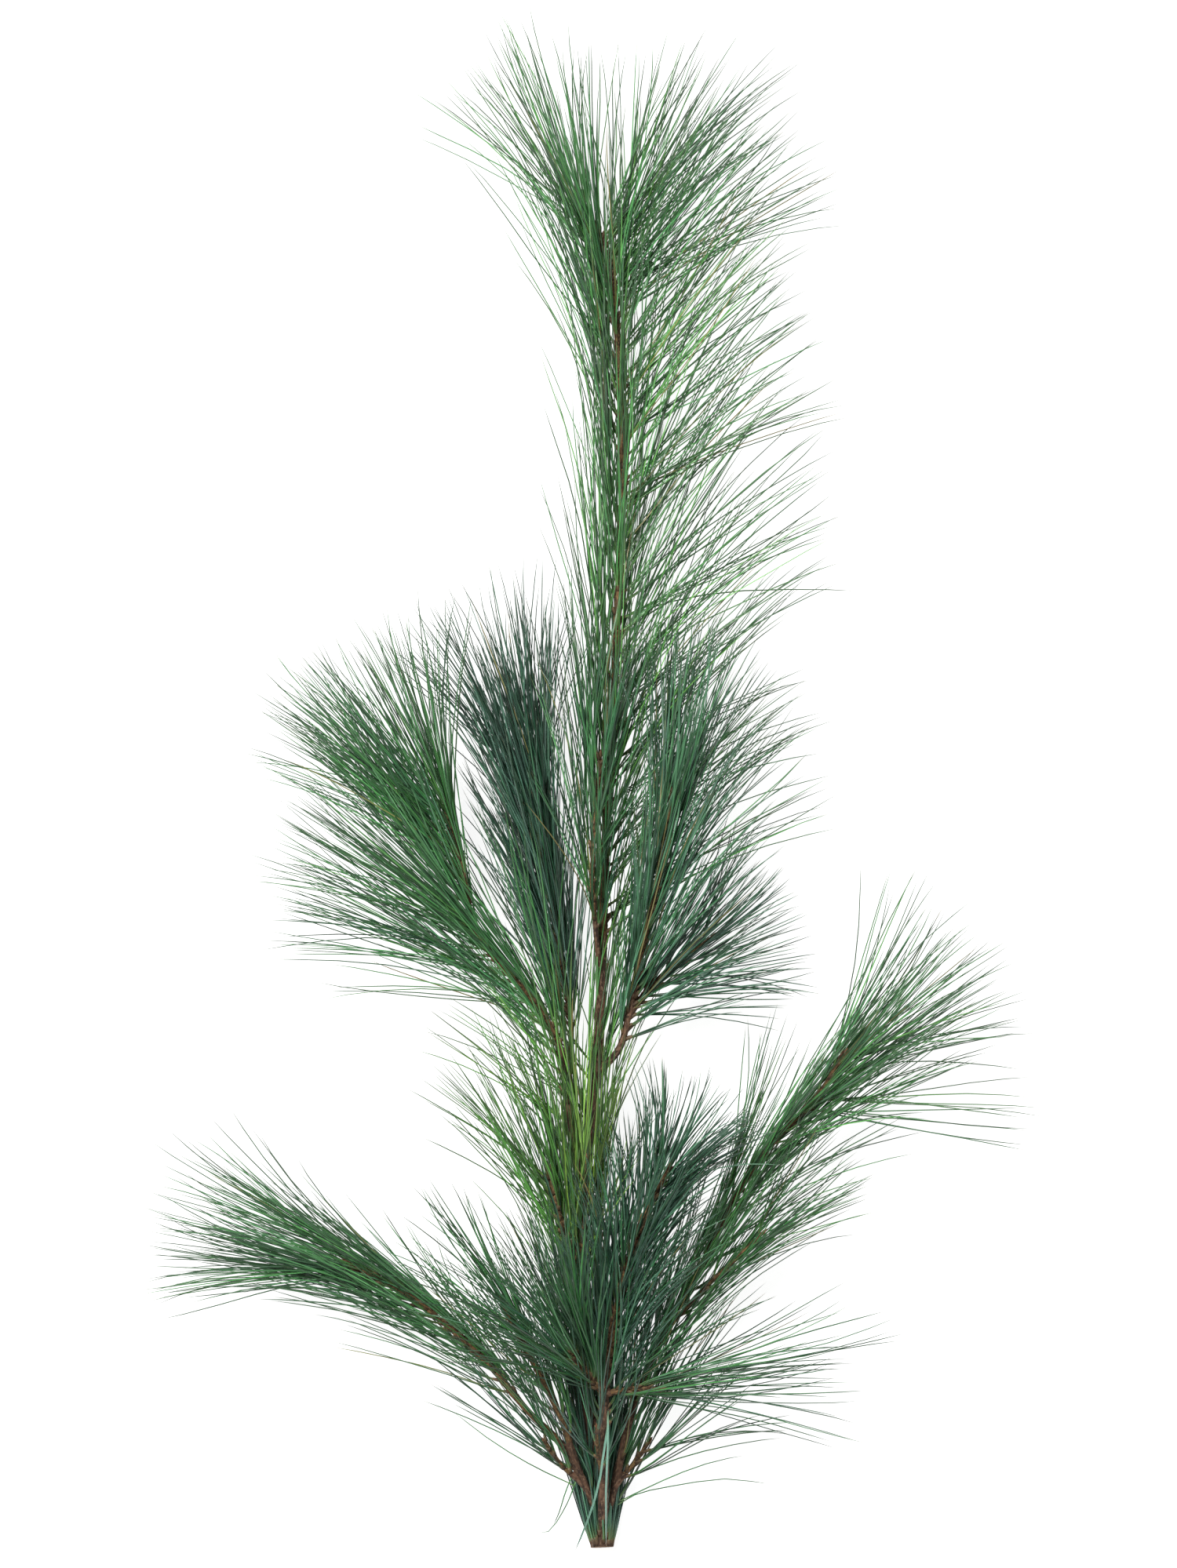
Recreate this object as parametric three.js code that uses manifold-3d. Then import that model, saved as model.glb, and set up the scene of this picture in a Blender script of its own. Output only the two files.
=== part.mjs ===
// A white pine branch, cut from the tree and laid on a flat surface.
// Units are millimetres, +Z is up, +Y runs from the cut end to the tip of the leader.
// The surface is z = 0. The branch lies on a small flat under its cut end and on the
// lowest needles of its sprays, which bend to lie along the surface.
import * as THREE from "three";
import { mergeVertices } from "three/addons/utils/BufferGeometryUtils.js";
import Module from "manifold-3d";

const wasm = await Module();
wasm.setup();

const SEED = 20;

// Needles
const NEEDLE_RADIUS = 0.55; // centre to edge of the three-sided section
const OPEN_BEND_SHARE = 0.42; // where an open needle bends, as a share of its length
const CLOSE_BEND_SHARE = 0.13; // where a needle that lies close to its shoot bends
const LEAST_ROOT_OPENING = 27; // degrees from the shoot at which a needle leaves it
const LEAST_RISE = 0.3; // sine of the least angle between a needle and the side it rises from
const FOOT_MARGIN = 0.04; // between a needle's foot and the edges of that side
const LEAST_OPENING = 4; // degrees between a needle's free length and its shoot
const LYING_HEIGHT = 0.25; // of a needle's middle where it bends along the surface
const AZIMUTH_NOISE = 0.25; // radians, standard deviation round the shoot
const OPENING_NOISE = 2.5; // degrees, standard deviation of the opening
const LOOSENED_AZIMUTH = 0.6; // added to that noise by the last try for a clear line
const LOOSENED_OPENING = 10;
const WIDEST = 1.12; // opening of the outermost needles against the one in the table
const OUTER_SKEW = 0.6; // under 1 puts more needles near the widest opening
const CURL_POWER = 1.2; // how late along a needle its curl comes
const DEEP_CURL = 4; // degrees, of needles above and below the shoot
const FAN_FROM = 0.8; // share of the leafy length after which the needles fan out
const DEEP_FAN_SHARE = 0.8; // fan of needles above and below, against the wider side
const NEEDLE_LENGTH_SPREAD = 0.08; // standard deviation, as a share of the length
const FOOT_LENGTH_SHARE = 0.88; // length of the first needles against the last ones

// Shoots and wood
const CORE_RADIUS = 1.9; // needle-bearing shoot where it leaves the bare wood
const CORE_TIP_RADIUS = 1.6; // the same at the foot of its end bud
const CORE_SIDES = 6;
const CORE_TWIST = (2 * Math.PI) / CORE_SIDES / 5; // turn of each ring against the last one
const BUD_LENGTH = 5;
const BUD_POINT_RADIUS = 0.35;
const WOOD_SIDES = 7;
const WOOD_STEP = 20;

// Clearances
const TOUCHING_GAP = 0.3; // between a shoot and the wood that it grows from
const CLEAR_OF_OTHERS = 0.35; // between needles of different sprays
const CLEAR_OF_OWN = 0.12; // between needles of one spray
const ROOTED_LENGTH = 7; // of a needle, that may lie near its own shoot
const TRIES = 60; // draws for one needle before it is left out
const STEM_STRETCH = 6; // length of the straight stretches that stand for a stem here
const SMALLEST_EDGE = 0.02; // shorter edges are merged after joining
const BELOW_SURFACE = [400, 900, 40]; // block that trims the wood at the surface

// Routes of the stems, from where each one leaves its parent to its tip, as [x, y, z]
const ROUTES = {
  main: [
    [5, -384, 4], [4, -364, 4], [1, -330, 10], [-4, -293, 19], [-6, -229, 30],
    [-1, -165, 39], [4, -109, 43], [6, -37, 46], [11, 59, 49], [15, 151, 52],
    [14, 215, 52], [9, 265, 52], [3, 288, 52],
  ],
  low_left: [
    [4, -373, 5], [-5, -349, 16], [-16, -330, 26], [-33, -313, 34], [-52, -290, 40],
    [-73, -270, 44], [-98, -251, 46], [-124, -237, 47],
  ],
  low_left_inner: [[-7, -345, 18], [-16, -317, 36], [-27, -294, 47], [-40, -268, 54], [-46, -256, 56]],
  front: [
    [5, -375, 6], [6, -345, 24], [6, -313, 41], [8, -287, 51], [12, -263, 59],
    [18, -238, 65], [27, -212, 70], [39, -188, 74],
  ],
  front_twig_left: [[6, -304, 45], [-2, -294, 54], [-10, -282, 62]],
  front_twig_right: [[6, -304, 45], [18, -301, 50], [35, -301, 53]],
  low_right: [
    [6, -373, 5], [12, -349, 13], [21, -311, 23], [36, -274, 30], [57, -236, 36],
    [75, -199, 40], [94, -173, 44], [114, -153, 46], [128, -131, 48],
  ],
  low_right_inner: [[36, -274, 30], [55, -252, 43], [77, -231, 53], [87, -221, 57]],
  mid_left: [
    [-5, -197, 34], [-11, -165, 44], [-15, -135, 50], [-24, -112, 53], [-42, -90, 55],
    [-59, -68, 57], [-66, -39, 58], [-72, -8, 58],
  ],
  mid_left_inner: [
    [-13, -150, 47], [-11, -117, 41], [-16, -81, 37], [-22, -41, 36], [-26, -14, 36], [-28, 11, 36],
  ],
  mid_right: [
    [3, -140, 41], [14, -127, 49], [19, -107, 56], [26, -73, 62], [34, -37, 65], [41, 3, 66],
  ],
  mid_right_outer: [[18, -111, 55], [30, -96, 54], [48, -81, 52], [61, -71, 51]],
  leader_side: [[4, -89, 44], [1, -60, 58], [0, -35, 63], [4, 22, 68]],
  centre_left: [[-6, -249, 26], [-14, -222, 40], [-23, -188, 47]],
  centre_front: [[-6, -243, 27], [-5, -226, 41], [-4, -197, 54], [-3, -183, 59]],
  base_left: [[-4, -352, 14], [-15, -342, 24], [-25, -328, 31]],
  base_right: [[11, -353, 12], [20, -342, 18], [30, -328, 22]],
  base_front: [[6, -350, 21], [3, -336, 37], [2, -320, 47]],
};

// Each shoot: the share of its route that is bare wood, the wood's radius at its foot and where
// the needles start, then its needles. left and right are [opening at the start of the
// needles, opening at their end, curl towards the tip] in degrees, seen from above; up and down
// are the openings above and below the shoot, and fan is the widest opening at the very tip,
// [left, right]. inner is how far the closest needles fold in, as a share of the opening.
const SHOOTS = [
  {
    name: "leader", tone: "green", route: "main",
    bare: 0.47, wood: [4.6, 2.7], needles: 150, length: 106,
    left: [10, 10, 0], right: [34, 42, 28],
    up: 22, down: 30, fan: [46, 56], inner: 0.3,
  },
  {
    name: "leader_side", tone: "green", route: "leader_side",
    bare: 0.3, wood: [2, 1.9], needles: 34, length: 92,
    left: [10, 12, 2], right: [10, 8, 2],
    up: 14, down: 8, fan: [14, 12], inner: 0.5,
  },
  {
    name: "low_left", tone: "green", route: "low_left",
    bare: 0.28, wood: [2.9, 2.1], needles: 84, length: 102,
    left: [16, 14, 4], right: [12, 10, 2],
    up: 20, down: 32, fan: [16, 28], inner: 0.4,
  },
  {
    name: "low_left_inner", tone: "green", route: "low_left_inner",
    bare: 0.2, wood: [2.1, 1.9], needles: 40, length: 86,
    left: [16, 14, 6], right: [12, 10, 2],
    up: 18, down: 14, fan: [18, 14], inner: 0.5,
  },
  {
    name: "front", tone: "dark", route: "front",
    bare: 0.55, wood: [2.8, 2], needles: 78, length: 84,
    left: [24, 28, 12], right: [16, 26, 20],
    up: 26, down: 16, fan: [40, 30], inner: 0.4,
  },
  {
    name: "front_twig_left", tone: "green", route: "front_twig_left",
    bare: 0.15, wood: [2, 1.9], needles: 24, length: 86,
    left: [24, 24, 8], right: [24, 24, 4],
    up: 24, down: 10, fan: [26, 26], inner: 0.4,
  },
  {
    name: "front_twig_right", tone: "green", route: "front_twig_right",
    bare: 0.15, wood: [2, 1.9], needles: 24, length: 110,
    left: [22, 22, 6], right: [26, 26, 4],
    up: 20, down: 14, fan: [26, 26], inner: 0.4,
  },
  {
    name: "low_right", tone: "green", route: "low_right",
    bare: 0.26, wood: [2.9, 2.2], needles: 104, length: 102,
    left: [10, 12, 2], right: [14, 26, 22],
    up: 18, down: 32, fan: [20, 46], inner: 0.4,
  },
  {
    name: "low_right_inner", tone: "green", route: "low_right_inner",
    bare: 0.2, wood: [2, 1.9], needles: 32, length: 84,
    left: [10, 10, 0], right: [14, 14, 12],
    up: 18, down: 10, fan: [12, 16], inner: 0.4,
  },
  {
    name: "mid_left", tone: "green", route: "mid_left",
    bare: 0.38, wood: [2.6, 2.1], needles: 100, length: 104,
    left: [36, 46, 18], right: [6, 4, -2],
    up: 24, down: 34, fan: [50, 8], inner: 0.35,
  },
  {
    name: "mid_left_inner", tone: "dark", route: "mid_left_inner",
    bare: 0.25, wood: [2.1, 1.9], needles: 64, length: 92,
    left: [14, 14, 6], right: [8, 8, 4],
    up: 12, down: 24, fan: [26, 14], inner: 0.5,
  },
  {
    name: "mid_right", tone: "dark", route: "mid_right",
    bare: 0.4, wood: [2.6, 2], needles: 74, length: 92,
    left: [8, 6, 0], right: [18, 30, 16],
    up: 22, down: 16, fan: [12, 40], inner: 0.4,
  },
  {
    name: "mid_right_outer", tone: "dark", route: "mid_right_outer",
    bare: 0.25, wood: [2, 1.9], needles: 42, length: 82,
    left: [16, 16, 6], right: [36, 24, 8],
    up: 20, down: 26, fan: [26, 26], inner: 0.4,
  },
  {
    name: "centre_left", tone: "yellow", route: "centre_left",
    bare: 0.36, wood: [2, 1.9], needles: 34, length: 96,
    left: [20, 24, 4], right: [10, 10, 0],
    up: 18, down: 16, fan: [24, 14], inner: 0.5,
  },
  {
    name: "centre_front", tone: "yellow", route: "centre_front",
    bare: 0.2, wood: [2, 1.9], needles: 30, length: 90,
    left: [8, 8, 2], right: [8, 8, 2],
    up: 14, down: 8, fan: [12, 12], inner: 0.6,
  },
  {
    name: "base_left", tone: "green", route: "base_left",
    bare: 0.38, wood: [2, 1.9], needles: 18, length: 90,
    left: [20, 30, 8], right: [10, 10, 4],
    up: 18, down: 18, fan: [34, 14], inner: 0.5,
  },
  {
    name: "base_right", tone: "green", route: "base_right",
    bare: 0.34, wood: [2, 1.9], needles: 20, length: 84,
    left: [10, 10, 2], right: [20, 40, 20],
    up: 18, down: 18, fan: [14, 40], inner: 0.5,
  },
  {
    name: "base_front", tone: "dark", route: "base_front",
    bare: 0.3, wood: [2, 1.9], needles: 20, length: 80,
    left: [8, 8, 2], right: [8, 8, 2],
    up: 14, down: 6, fan: [12, 12], inner: 0.6,
  },
];

const WOOD_MATERIAL = { color: 0x6b452f, roughness: 0.85, metalness: 0 };
const NEEDLE_COLOURS = {
  green: { color: 0x3f7448, roughness: 0.55, metalness: 0 },
  dark: { color: 0x2b5245, roughness: 0.55, metalness: 0 },
  yellow: { color: 0x5f8f3a, roughness: 0.55, metalness: 0 },
};

// A seeded stream of numbers from 0 to 1.
function seededRandom(seed) {
  let state = seed >>> 0;
  return () => {
    state = (state + 0x6d2b79f5) >>> 0;
    let mixed = Math.imul(state ^ (state >>> 15), 1 | state);
    mixed = (mixed + Math.imul(mixed ^ (mixed >>> 7), 61 | mixed)) ^ mixed;
    return ((mixed ^ (mixed >>> 14)) >>> 0) / 2 ** 32;
  };
}

const random = seededRandom(SEED);
const bell = (spread) => spread * (random() + random() + random() + random() - 2) * Math.sqrt(3);
const mix = (a, b, share) => a + (b - a) * share;

const curves = Object.fromEntries(
  Object.entries(ROUTES).map(([name, points]) => [
    name,
    new THREE.CatmullRomCurve3(points.map((p) => new THREE.Vector3(...p)), false, "catmullrom", 0.5),
  ]),
);

// Two directions square to a tangent: one level and to the right of growth, one upwards.
function sideAndRise(tangent) {
  const side = new THREE.Vector3().crossVectors(tangent, new THREE.Vector3(0, 0, 1));
  if (side.lengthSq() < 1e-6) side.set(1, 0, 0);
  side.normalize();
  return [side, new THREE.Vector3().crossVectors(side, tangent).normalize()];
}

// The triangles of a tube through rings of points, with both ends closed. isOpen says which
// of its flat sides are left open for a needle.
function tubeFaces(ringCount, sides, isOpen = () => false) {
  const faces = [];
  for (let ring = 0; ring + 1 < ringCount; ring++) {
    for (let k = 0; k < sides; k++) {
      if (isOpen(ring, k)) continue;
      const [a, b, c, d] = sideCorners(ring, k, sides);
      faces.push(a, c, b, a, d, c);
    }
  }
  const last = (ringCount - 1) * sides;
  for (let k = 1; k + 1 < sides; k++) faces.push(0, k, k + 1, last, last + k + 1, last + k);
  return faces;
}

// The corners of one flat side of a tube, as places in its list of vertices.
function sideCorners(ring, k, sides) {
  const after = (k + 1) % sides;
  return [ring * sides + k, ring * sides + after, (ring + 1) * sides + after, (ring + 1) * sides + k];
}

function closedGeometry(vertices, faces) {
  const geometry = new THREE.BufferGeometry().setFromPoints(vertices);
  geometry.setIndex(faces);
  return geometry;
}

// A closed three.js geometry as a solid that can be joined and cut.
function solidOf(geometry) {
  const bare = geometry.clone();
  bare.deleteAttribute("normal");
  bare.deleteAttribute("uv");
  const merged = mergeVertices(bare, 1e-4);
  return new wasm.Manifold(
    new wasm.Mesh({
      numProp: 3,
      vertProperties: Float32Array.from(merged.attributes.position.array),
      triVerts: Uint32Array.from(merged.index.array),
    }),
  );
}

function ringAround(centre, direction, radius, sides, twist = 0) {
  const [side, rise] = sideAndRise(direction);
  return Array.from({ length: sides }, (_, k) => {
    const turn = (2 * Math.PI * (k + 0.5)) / sides - Math.PI / 2 + twist;
    return centre
      .clone()
      .addScaledVector(side, radius * Math.cos(turn))
      .addScaledVector(rise, radius * Math.sin(turn));
  });
}

// Rings of a tapered tube along part of a route, from one share of its length to another.
function ringsAlong(curve, from, to, radii, sides, steps, twist = 0) {
  return Array.from({ length: steps + 1 }, (_, k) => {
    const share = mix(from, to, k / steps);
    const radius = mix(radii[0], radii[1], k / steps);
    return ringAround(curve.getPointAt(share), curve.getTangentAt(share), radius, sides, k * twist);
  });
}

// The bare wood of one shoot, rooted on its parent's axis.
function woodOf(shoot) {
  const curve = curves[shoot.route];
  const steps = Math.max(2, Math.round((shoot.bare * curve.getLength()) / WOOD_STEP));
  const rings = ringsAlong(curve, 0, shoot.bare, shoot.wood, WOOD_SIDES, steps);
  return solidOf(closedGeometry(rings.flat(), tubeFaces(rings.length, WOOD_SIDES)));
}

// The rings of the needle-bearing length of one shoot, with its bud's point last. Each flat
// side between two rings, bar the bud's, carries one needle.
function coreRings(shoot) {
  const curve = curves[shoot.route];
  const length = curve.getLength();
  const steps = Math.ceil(shoot.needles / CORE_SIDES);
  const from = shoot.bare + TOUCHING_GAP / length;
  const radii = [Math.min(CORE_RADIUS, shoot.wood[1]), CORE_TIP_RADIUS];
  const budFrom = 1 - BUD_LENGTH / length;
  const rings = ringsAlong(curve, from, budFrom, radii, CORE_SIDES, steps, CORE_TWIST);
  const twist = steps * CORE_TWIST;
  rings.push(ringAround(curve.getPointAt(1), curve.getTangentAt(1), BUD_POINT_RADIUS, CORE_SIDES, twist));
  return rings;
}

// The middle of one flat side of a shoot, and the direction that it faces.
function middleOfSide(rings, ring, k) {
  const corners = sideCorners(ring, k, CORE_SIDES).map((n) => rings.flat()[n]);
  const [a, b, c, d] = corners;
  const spot = corners.reduce((sum, point) => sum.add(point), new THREE.Vector3()).divideScalar(4);
  const across = new THREE.Vector3().subVectors(c, a);
  const other = new THREE.Vector3().subVectors(d, b);
  return [spot, other.cross(across).normalize()];
}

// The line of one needle, drawn at random: where it leaves the shoot, where it bends, its tip.
function drawNeedle(shoot, ring, k, loosen) {
  const curve = curves[shoot.route];
  const [spot, normal] = middleOfSide(shoot.rings, ring, k);
  const place = (ring + 0.5) / (shoot.rings.length - 2);
  const tangent = curve.getTangentAt(mix(shoot.bare, 1 - BUD_LENGTH / curve.getLength(), place));
  const [side, rise] = sideAndRise(tangent);
  const turn = bell(AZIMUTH_NOISE + LOOSENED_AZIMUTH * loosen);
  const azimuth = Math.atan2(normal.dot(rise), normal.dot(side)) + turn;
  const outwards = side.multiplyScalar(Math.cos(azimuth)).addScaledVector(rise, Math.sin(azimuth));
  const right = Math.max(Math.cos(azimuth), 0) ** 2;
  const left = Math.max(-Math.cos(azimuth), 0) ** 2;
  const deep = Math.sin(azimuth) ** 2;
  const steep = Math.sin(azimuth) > 0 ? shoot.up : shoot.down;
  const nearTip = THREE.MathUtils.clamp((place - FAN_FROM) / (1 - FAN_FROM), 0, 1);
  const deepFan = DEEP_FAN_SHARE * Math.max(...shoot.fan);
  const fan = right * shoot.fan[1] + left * shoot.fan[0] + deep * deepFan;
  const curl = right * shoot.right[2] + left * shoot.left[2] + deep * DEEP_CURL;
  let opening = right * mix(shoot.right[0], shoot.right[1], place)
    + left * mix(shoot.left[0], shoot.left[1], place) + deep * steep;
  opening = mix(opening, fan * random() ** OUTER_SKEW, nearTip);
  opening *= mix(shoot.inner, WIDEST, random() ** OUTER_SKEW);
  opening = Math.max(LEAST_OPENING, opening + bell(OPENING_NOISE + LOOSENED_OPENING * loosen));
  const aim = (along, least) => {
    const angle = THREE.MathUtils.degToRad(Math.max(least, opening) + curl * along ** CURL_POWER);
    return tangent.clone().multiplyScalar(Math.cos(angle)).addScaledVector(outwards, Math.sin(angle));
  };
  const reach = shoot.length * (1 + bell(NEEDLE_LENGTH_SPREAD)) * mix(FOOT_LENGTH_SHARE, 1, place);
  const bendShare = opening < LEAST_ROOT_OPENING ? CLOSE_BEND_SHARE : OPEN_BEND_SHARE;
  const start = aim(bendShare / 2, LEAST_ROOT_OPENING);
  if (start.dot(normal) < LEAST_RISE) return null;
  const bend = spot.clone().addScaledVector(start, reach * bendShare);
  bend.z = Math.max(bend.z, LYING_HEIGHT);
  const tip = bend.clone().addScaledVector(aim((bendShare + 1) / 2, 0), reach * (1 - bendShare));
  tip.z = Math.max(tip.z, 0);
  const needle = { ring, k, normal, line: [spot, bend, tip] };
  return footFits(shoot.rings, needle) ? needle : null;
}

// True where the whole foot of a needle lies inside the side that it rises from.
function footFits(rings, needle) {
  const corners = sideCorners(needle.ring, needle.k, CORE_SIDES).map((n) => rings.flat()[n]);
  return corners.every((corner, n) => {
    const edge = corners[(n + 1) % 4].clone().sub(corner).normalize();
    const inwards = new THREE.Vector3().crossVectors(edge, needle.normal);
    const isInside = (point) => point.clone().sub(corner).dot(inwards) > FOOT_MARGIN;
    return needlePoints(needle).foot.every(isInside);
  });
}

// Shortest distance between two straight segments.
function segmentDistance(a0, a1, b0, b1) {
  const a = new THREE.Vector3().subVectors(a1, a0);
  const b = new THREE.Vector3().subVectors(b1, b0);
  const apart = new THREE.Vector3().subVectors(a0, b0);
  const aa = a.dot(a);
  const bb = b.dot(b);
  const ab = a.dot(b);
  const ar = a.dot(apart);
  const br = b.dot(apart);
  const denominator = aa * bb - ab * ab;
  const clamp = THREE.MathUtils.clamp;
  let s = denominator > 1e-9 ? clamp((ab * br - bb * ar) / denominator, 0, 1) : 0;
  const t = clamp((ab * s + br) / bb, 0, 1);
  s = clamp((ab * t - ar) / aa, 0, 1);
  return a.multiplyScalar(s).add(a0).distanceTo(b.multiplyScalar(t).add(b0));
}

// Every stretch of stem or needle that is already placed.
const placed = [];

function take(shoot, from, to, radius, isStem = false) {
  const low = from.clone().min(to).subScalar(radius);
  const high = from.clone().max(to).addScalar(radius);
  placed.push({ shoot, from, to, radius, low, high, isStem });
}

function takeStem(shoot) {
  const curve = curves[shoot.route];
  const stretches = Math.ceil(curve.getLength() / STEM_STRETCH);
  for (let k = 0; k < stretches; k++) {
    const share = k / stretches;
    const ends = [share, (k + 1) / stretches].map((n) => curve.getPointAt(n));
    const radius = share < shoot.bare
      ? mix(shoot.wood[0], shoot.wood[1], share / shoot.bare)
      : Math.min(CORE_RADIUS, shoot.wood[1]);
    take(shoot, ends[0], ends[1], radius, true);
  }
}

function stretchesOf([foot, bend, tip]) {
  const free = foot.clone().lerp(bend, ROOTED_LENGTH / foot.distanceTo(bend));
  return [[foot, free], [free, bend], [bend, tip]];
}

function isApart(low, high, other) {
  return low.x > other.high.x || high.x < other.low.x
    || low.y > other.high.y || high.y < other.low.y
    || low.z > other.high.z || high.z < other.low.z;
}

// True where a needle keeps its distance from all that is already placed.
function isClear(shoot, line) {
  return stretchesOf(line).every(([from, to], index) => {
    const low = from.clone().min(to).subScalar(NEEDLE_RADIUS + CLEAR_OF_OTHERS);
    const high = from.clone().max(to).addScalar(NEEDLE_RADIUS + CLEAR_OF_OTHERS);
    return placed.every((other) => {
      const own = other.shoot === shoot;
      if ((own && other.isStem && index === 0) || isApart(low, high, other)) return true;
      const gap = own && !other.isStem ? CLEAR_OF_OWN : CLEAR_OF_OTHERS;
      return segmentDistance(from, to, other.from, other.to) > NEEDLE_RADIUS + other.radius + gap;
    });
  });
}

// Finds a clear line for each needle, one needle of each shoot at a time.
function layNeedles() {
  for (const shoot of SHOOTS) {
    takeStem(shoot);
    shoot.rings = coreRings(shoot);
    shoot.laid = [];
  }
  const most = Math.max(...SHOOTS.map((shoot) => shoot.needles));
  for (let turn = 0; turn < most; turn++) {
    for (const shoot of SHOOTS) {
      const sides = CORE_SIDES * (shoot.rings.length - 2);
      if (turn >= sides) continue;
      const chosen = shuffledPlace(turn, sides);
      for (let attempt = 0; attempt < TRIES; attempt++) {
        const ring = Math.floor(chosen / CORE_SIDES);
        const needle = drawNeedle(shoot, ring, chosen % CORE_SIDES, attempt / TRIES);
        if (!needle || !isClear(shoot, needle.line)) continue;
        for (const [from, to] of stretchesOf(needle.line)) take(shoot, from, to, NEEDLE_RADIUS);
        shoot.laid.push(needle);
        break;
      }
    }
  }
}

// Steps through all places in an order that jumps about, so that no end is filled first.
function shuffledPlace(turn, count) {
  let stride = Math.round(count * 0.618);
  const shares = (a, b) => (b ? shares(b, a % b) : a);
  while (shares(stride, count) !== 1) stride++;
  return (turn * stride) % count;
}

// The foot, elbow and tip of a needle: a three-sided prism cut by the side that it rises
// from and by the plane of its bend, and then a point.
function needlePoints({ normal, line: [spot, bend, tip] }) {
  const first = bend.clone().sub(spot).normalize();
  const second = tip.clone().sub(bend).normalize();
  const halfway = first.clone().add(second).normalize();
  const edges = ringAround(spot, first, NEEDLE_RADIUS, 3);
  const cut = (through, facing) => edges.map((edge) => {
    const ahead = through.clone().sub(edge).dot(facing) / first.dot(facing);
    return edge.clone().addScaledVector(first, ahead);
  });
  const foot = cut(spot, normal);
  const elbow = cut(bend, halfway);
  for (const point of elbow) point.z = Math.max(point.z, 0);
  return { foot, elbow, tip };
}

// One shoot with its needles raised from its flat sides, as one closed surface.
function sprayGeometry(shoot) {
  const vertices = shoot.rings.flat();
  const carries = new Map(shoot.laid.map((needle) => [needle.ring * CORE_SIDES + needle.k, needle]));
  const isOpen = (ring, k) => carries.has(ring * CORE_SIDES + k);
  const faces = tubeFaces(shoot.rings.length, CORE_SIDES, isOpen);
  for (const needle of shoot.laid) raiseNeedle(vertices, faces, needle);
  return closedGeometry(vertices, faces);
}

function raiseNeedle(vertices, faces, needle) {
  const { foot, elbow, tip } = needlePoints(needle);
  const corners = sideCorners(needle.ring, needle.k, CORE_SIDES);
  const start = vertices.length;
  vertices.push(...foot, ...elbow, tip);
  const footPlaces = [start, start + 1, start + 2];
  const places = [...corners, ...footPlaces];
  const [a, , , d] = corners.map((n) => vertices[n]);
  const along = d.clone().sub(a).normalize();
  const across = new THREE.Vector3().crossVectors(needle.normal, along);
  const flat = (n) => new THREE.Vector2(vertices[n].dot(along), vertices[n].dot(across));
  const turnOf = (p, q, r) => (q.x - p.x) * (r.y - p.y) - (q.y - p.y) * (r.x - p.x);
  for (const triangle of THREE.ShapeUtils.triangulateShape(corners.map(flat), [footPlaces.map(flat)])) {
    const [p, q, r] = triangle.map((n) => places[n]);
    if (turnOf(flat(p), flat(q), flat(r)) > 0) faces.push(p, q, r);
    else faces.push(p, r, q);
  }
  const isLeftTurn = turnOf(...footPlaces.map(flat)) > 0;
  for (let k = 0; k < 3; k++) {
    const [from, to] = isLeftTurn ? [k, (k + 1) % 3] : [(k + 1) % 3, k];
    faces.push(start + from, start + to, start + 3 + to, start + from, start + 3 + to, start + 3 + from);
    faces.push(start + 3 + from, start + 3 + to, start + 6);
  }
}

// Joins solids and keeps the one outer body, with any sealed pocket filled.
function joined(solids) {
  const whole = solids.reduce((sum, solid) => sum.add(solid));
  return whole.decompose().reduce((a, b) => (b.volume() > a.volume() ? b : a)).simplify(SMALLEST_EDGE);
}

// All the bare wood, trimmed flat where it lies on the surface.
function woodGeometry() {
  const below = new THREE.BoxGeometry(...BELOW_SURFACE).translate(0, 0, -BELOW_SURFACE[2] / 2);
  const { vertProperties, triVerts } = joined(SHOOTS.map(woodOf)).subtract(solidOf(below)).getMesh();
  const geometry = new THREE.BufferGeometry();
  geometry.setAttribute("position", new THREE.BufferAttribute(Float32Array.from(vertProperties), 3));
  geometry.setIndex(new THREE.BufferAttribute(Uint32Array.from(triVerts), 1));
  return geometry;
}

function meshOf(name, geometry, material) {
  geometry.computeVertexNormals();
  const mesh = new THREE.Mesh(geometry, new THREE.MeshStandardMaterial(material));
  mesh.name = name;
  return mesh;
}

const branch = new THREE.Group();
layNeedles();
branch.add(meshOf("woody_stem", woodGeometry(), WOOD_MATERIAL));
for (const shoot of SHOOTS) {
  branch.add(meshOf("needles_" + shoot.name, sprayGeometry(shoot), NEEDLE_COLOURS[shoot.tone]));
}

export default branch;
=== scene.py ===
"""A cut branch of white pine lying flat: its looks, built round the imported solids.

The routes of the stems are the ones that the solids are made from. Shapes are worked out in
millimetres, and become metres when they are put into a mesh.
"""

import bpy
import numpy as np
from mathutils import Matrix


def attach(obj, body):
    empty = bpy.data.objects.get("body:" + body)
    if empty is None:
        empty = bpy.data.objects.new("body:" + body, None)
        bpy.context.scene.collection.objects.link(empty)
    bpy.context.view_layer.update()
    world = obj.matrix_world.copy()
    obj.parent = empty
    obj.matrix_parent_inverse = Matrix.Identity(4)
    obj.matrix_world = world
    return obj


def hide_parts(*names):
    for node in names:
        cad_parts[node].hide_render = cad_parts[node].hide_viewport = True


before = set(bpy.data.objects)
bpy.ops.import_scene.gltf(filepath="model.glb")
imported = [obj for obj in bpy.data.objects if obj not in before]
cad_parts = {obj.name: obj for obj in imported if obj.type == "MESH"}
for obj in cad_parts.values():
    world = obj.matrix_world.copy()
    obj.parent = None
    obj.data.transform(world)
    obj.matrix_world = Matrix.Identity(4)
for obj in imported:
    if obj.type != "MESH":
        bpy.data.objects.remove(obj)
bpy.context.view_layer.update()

MM = 0.001
GOLDEN_ANGLE = np.radians(137.508)
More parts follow.
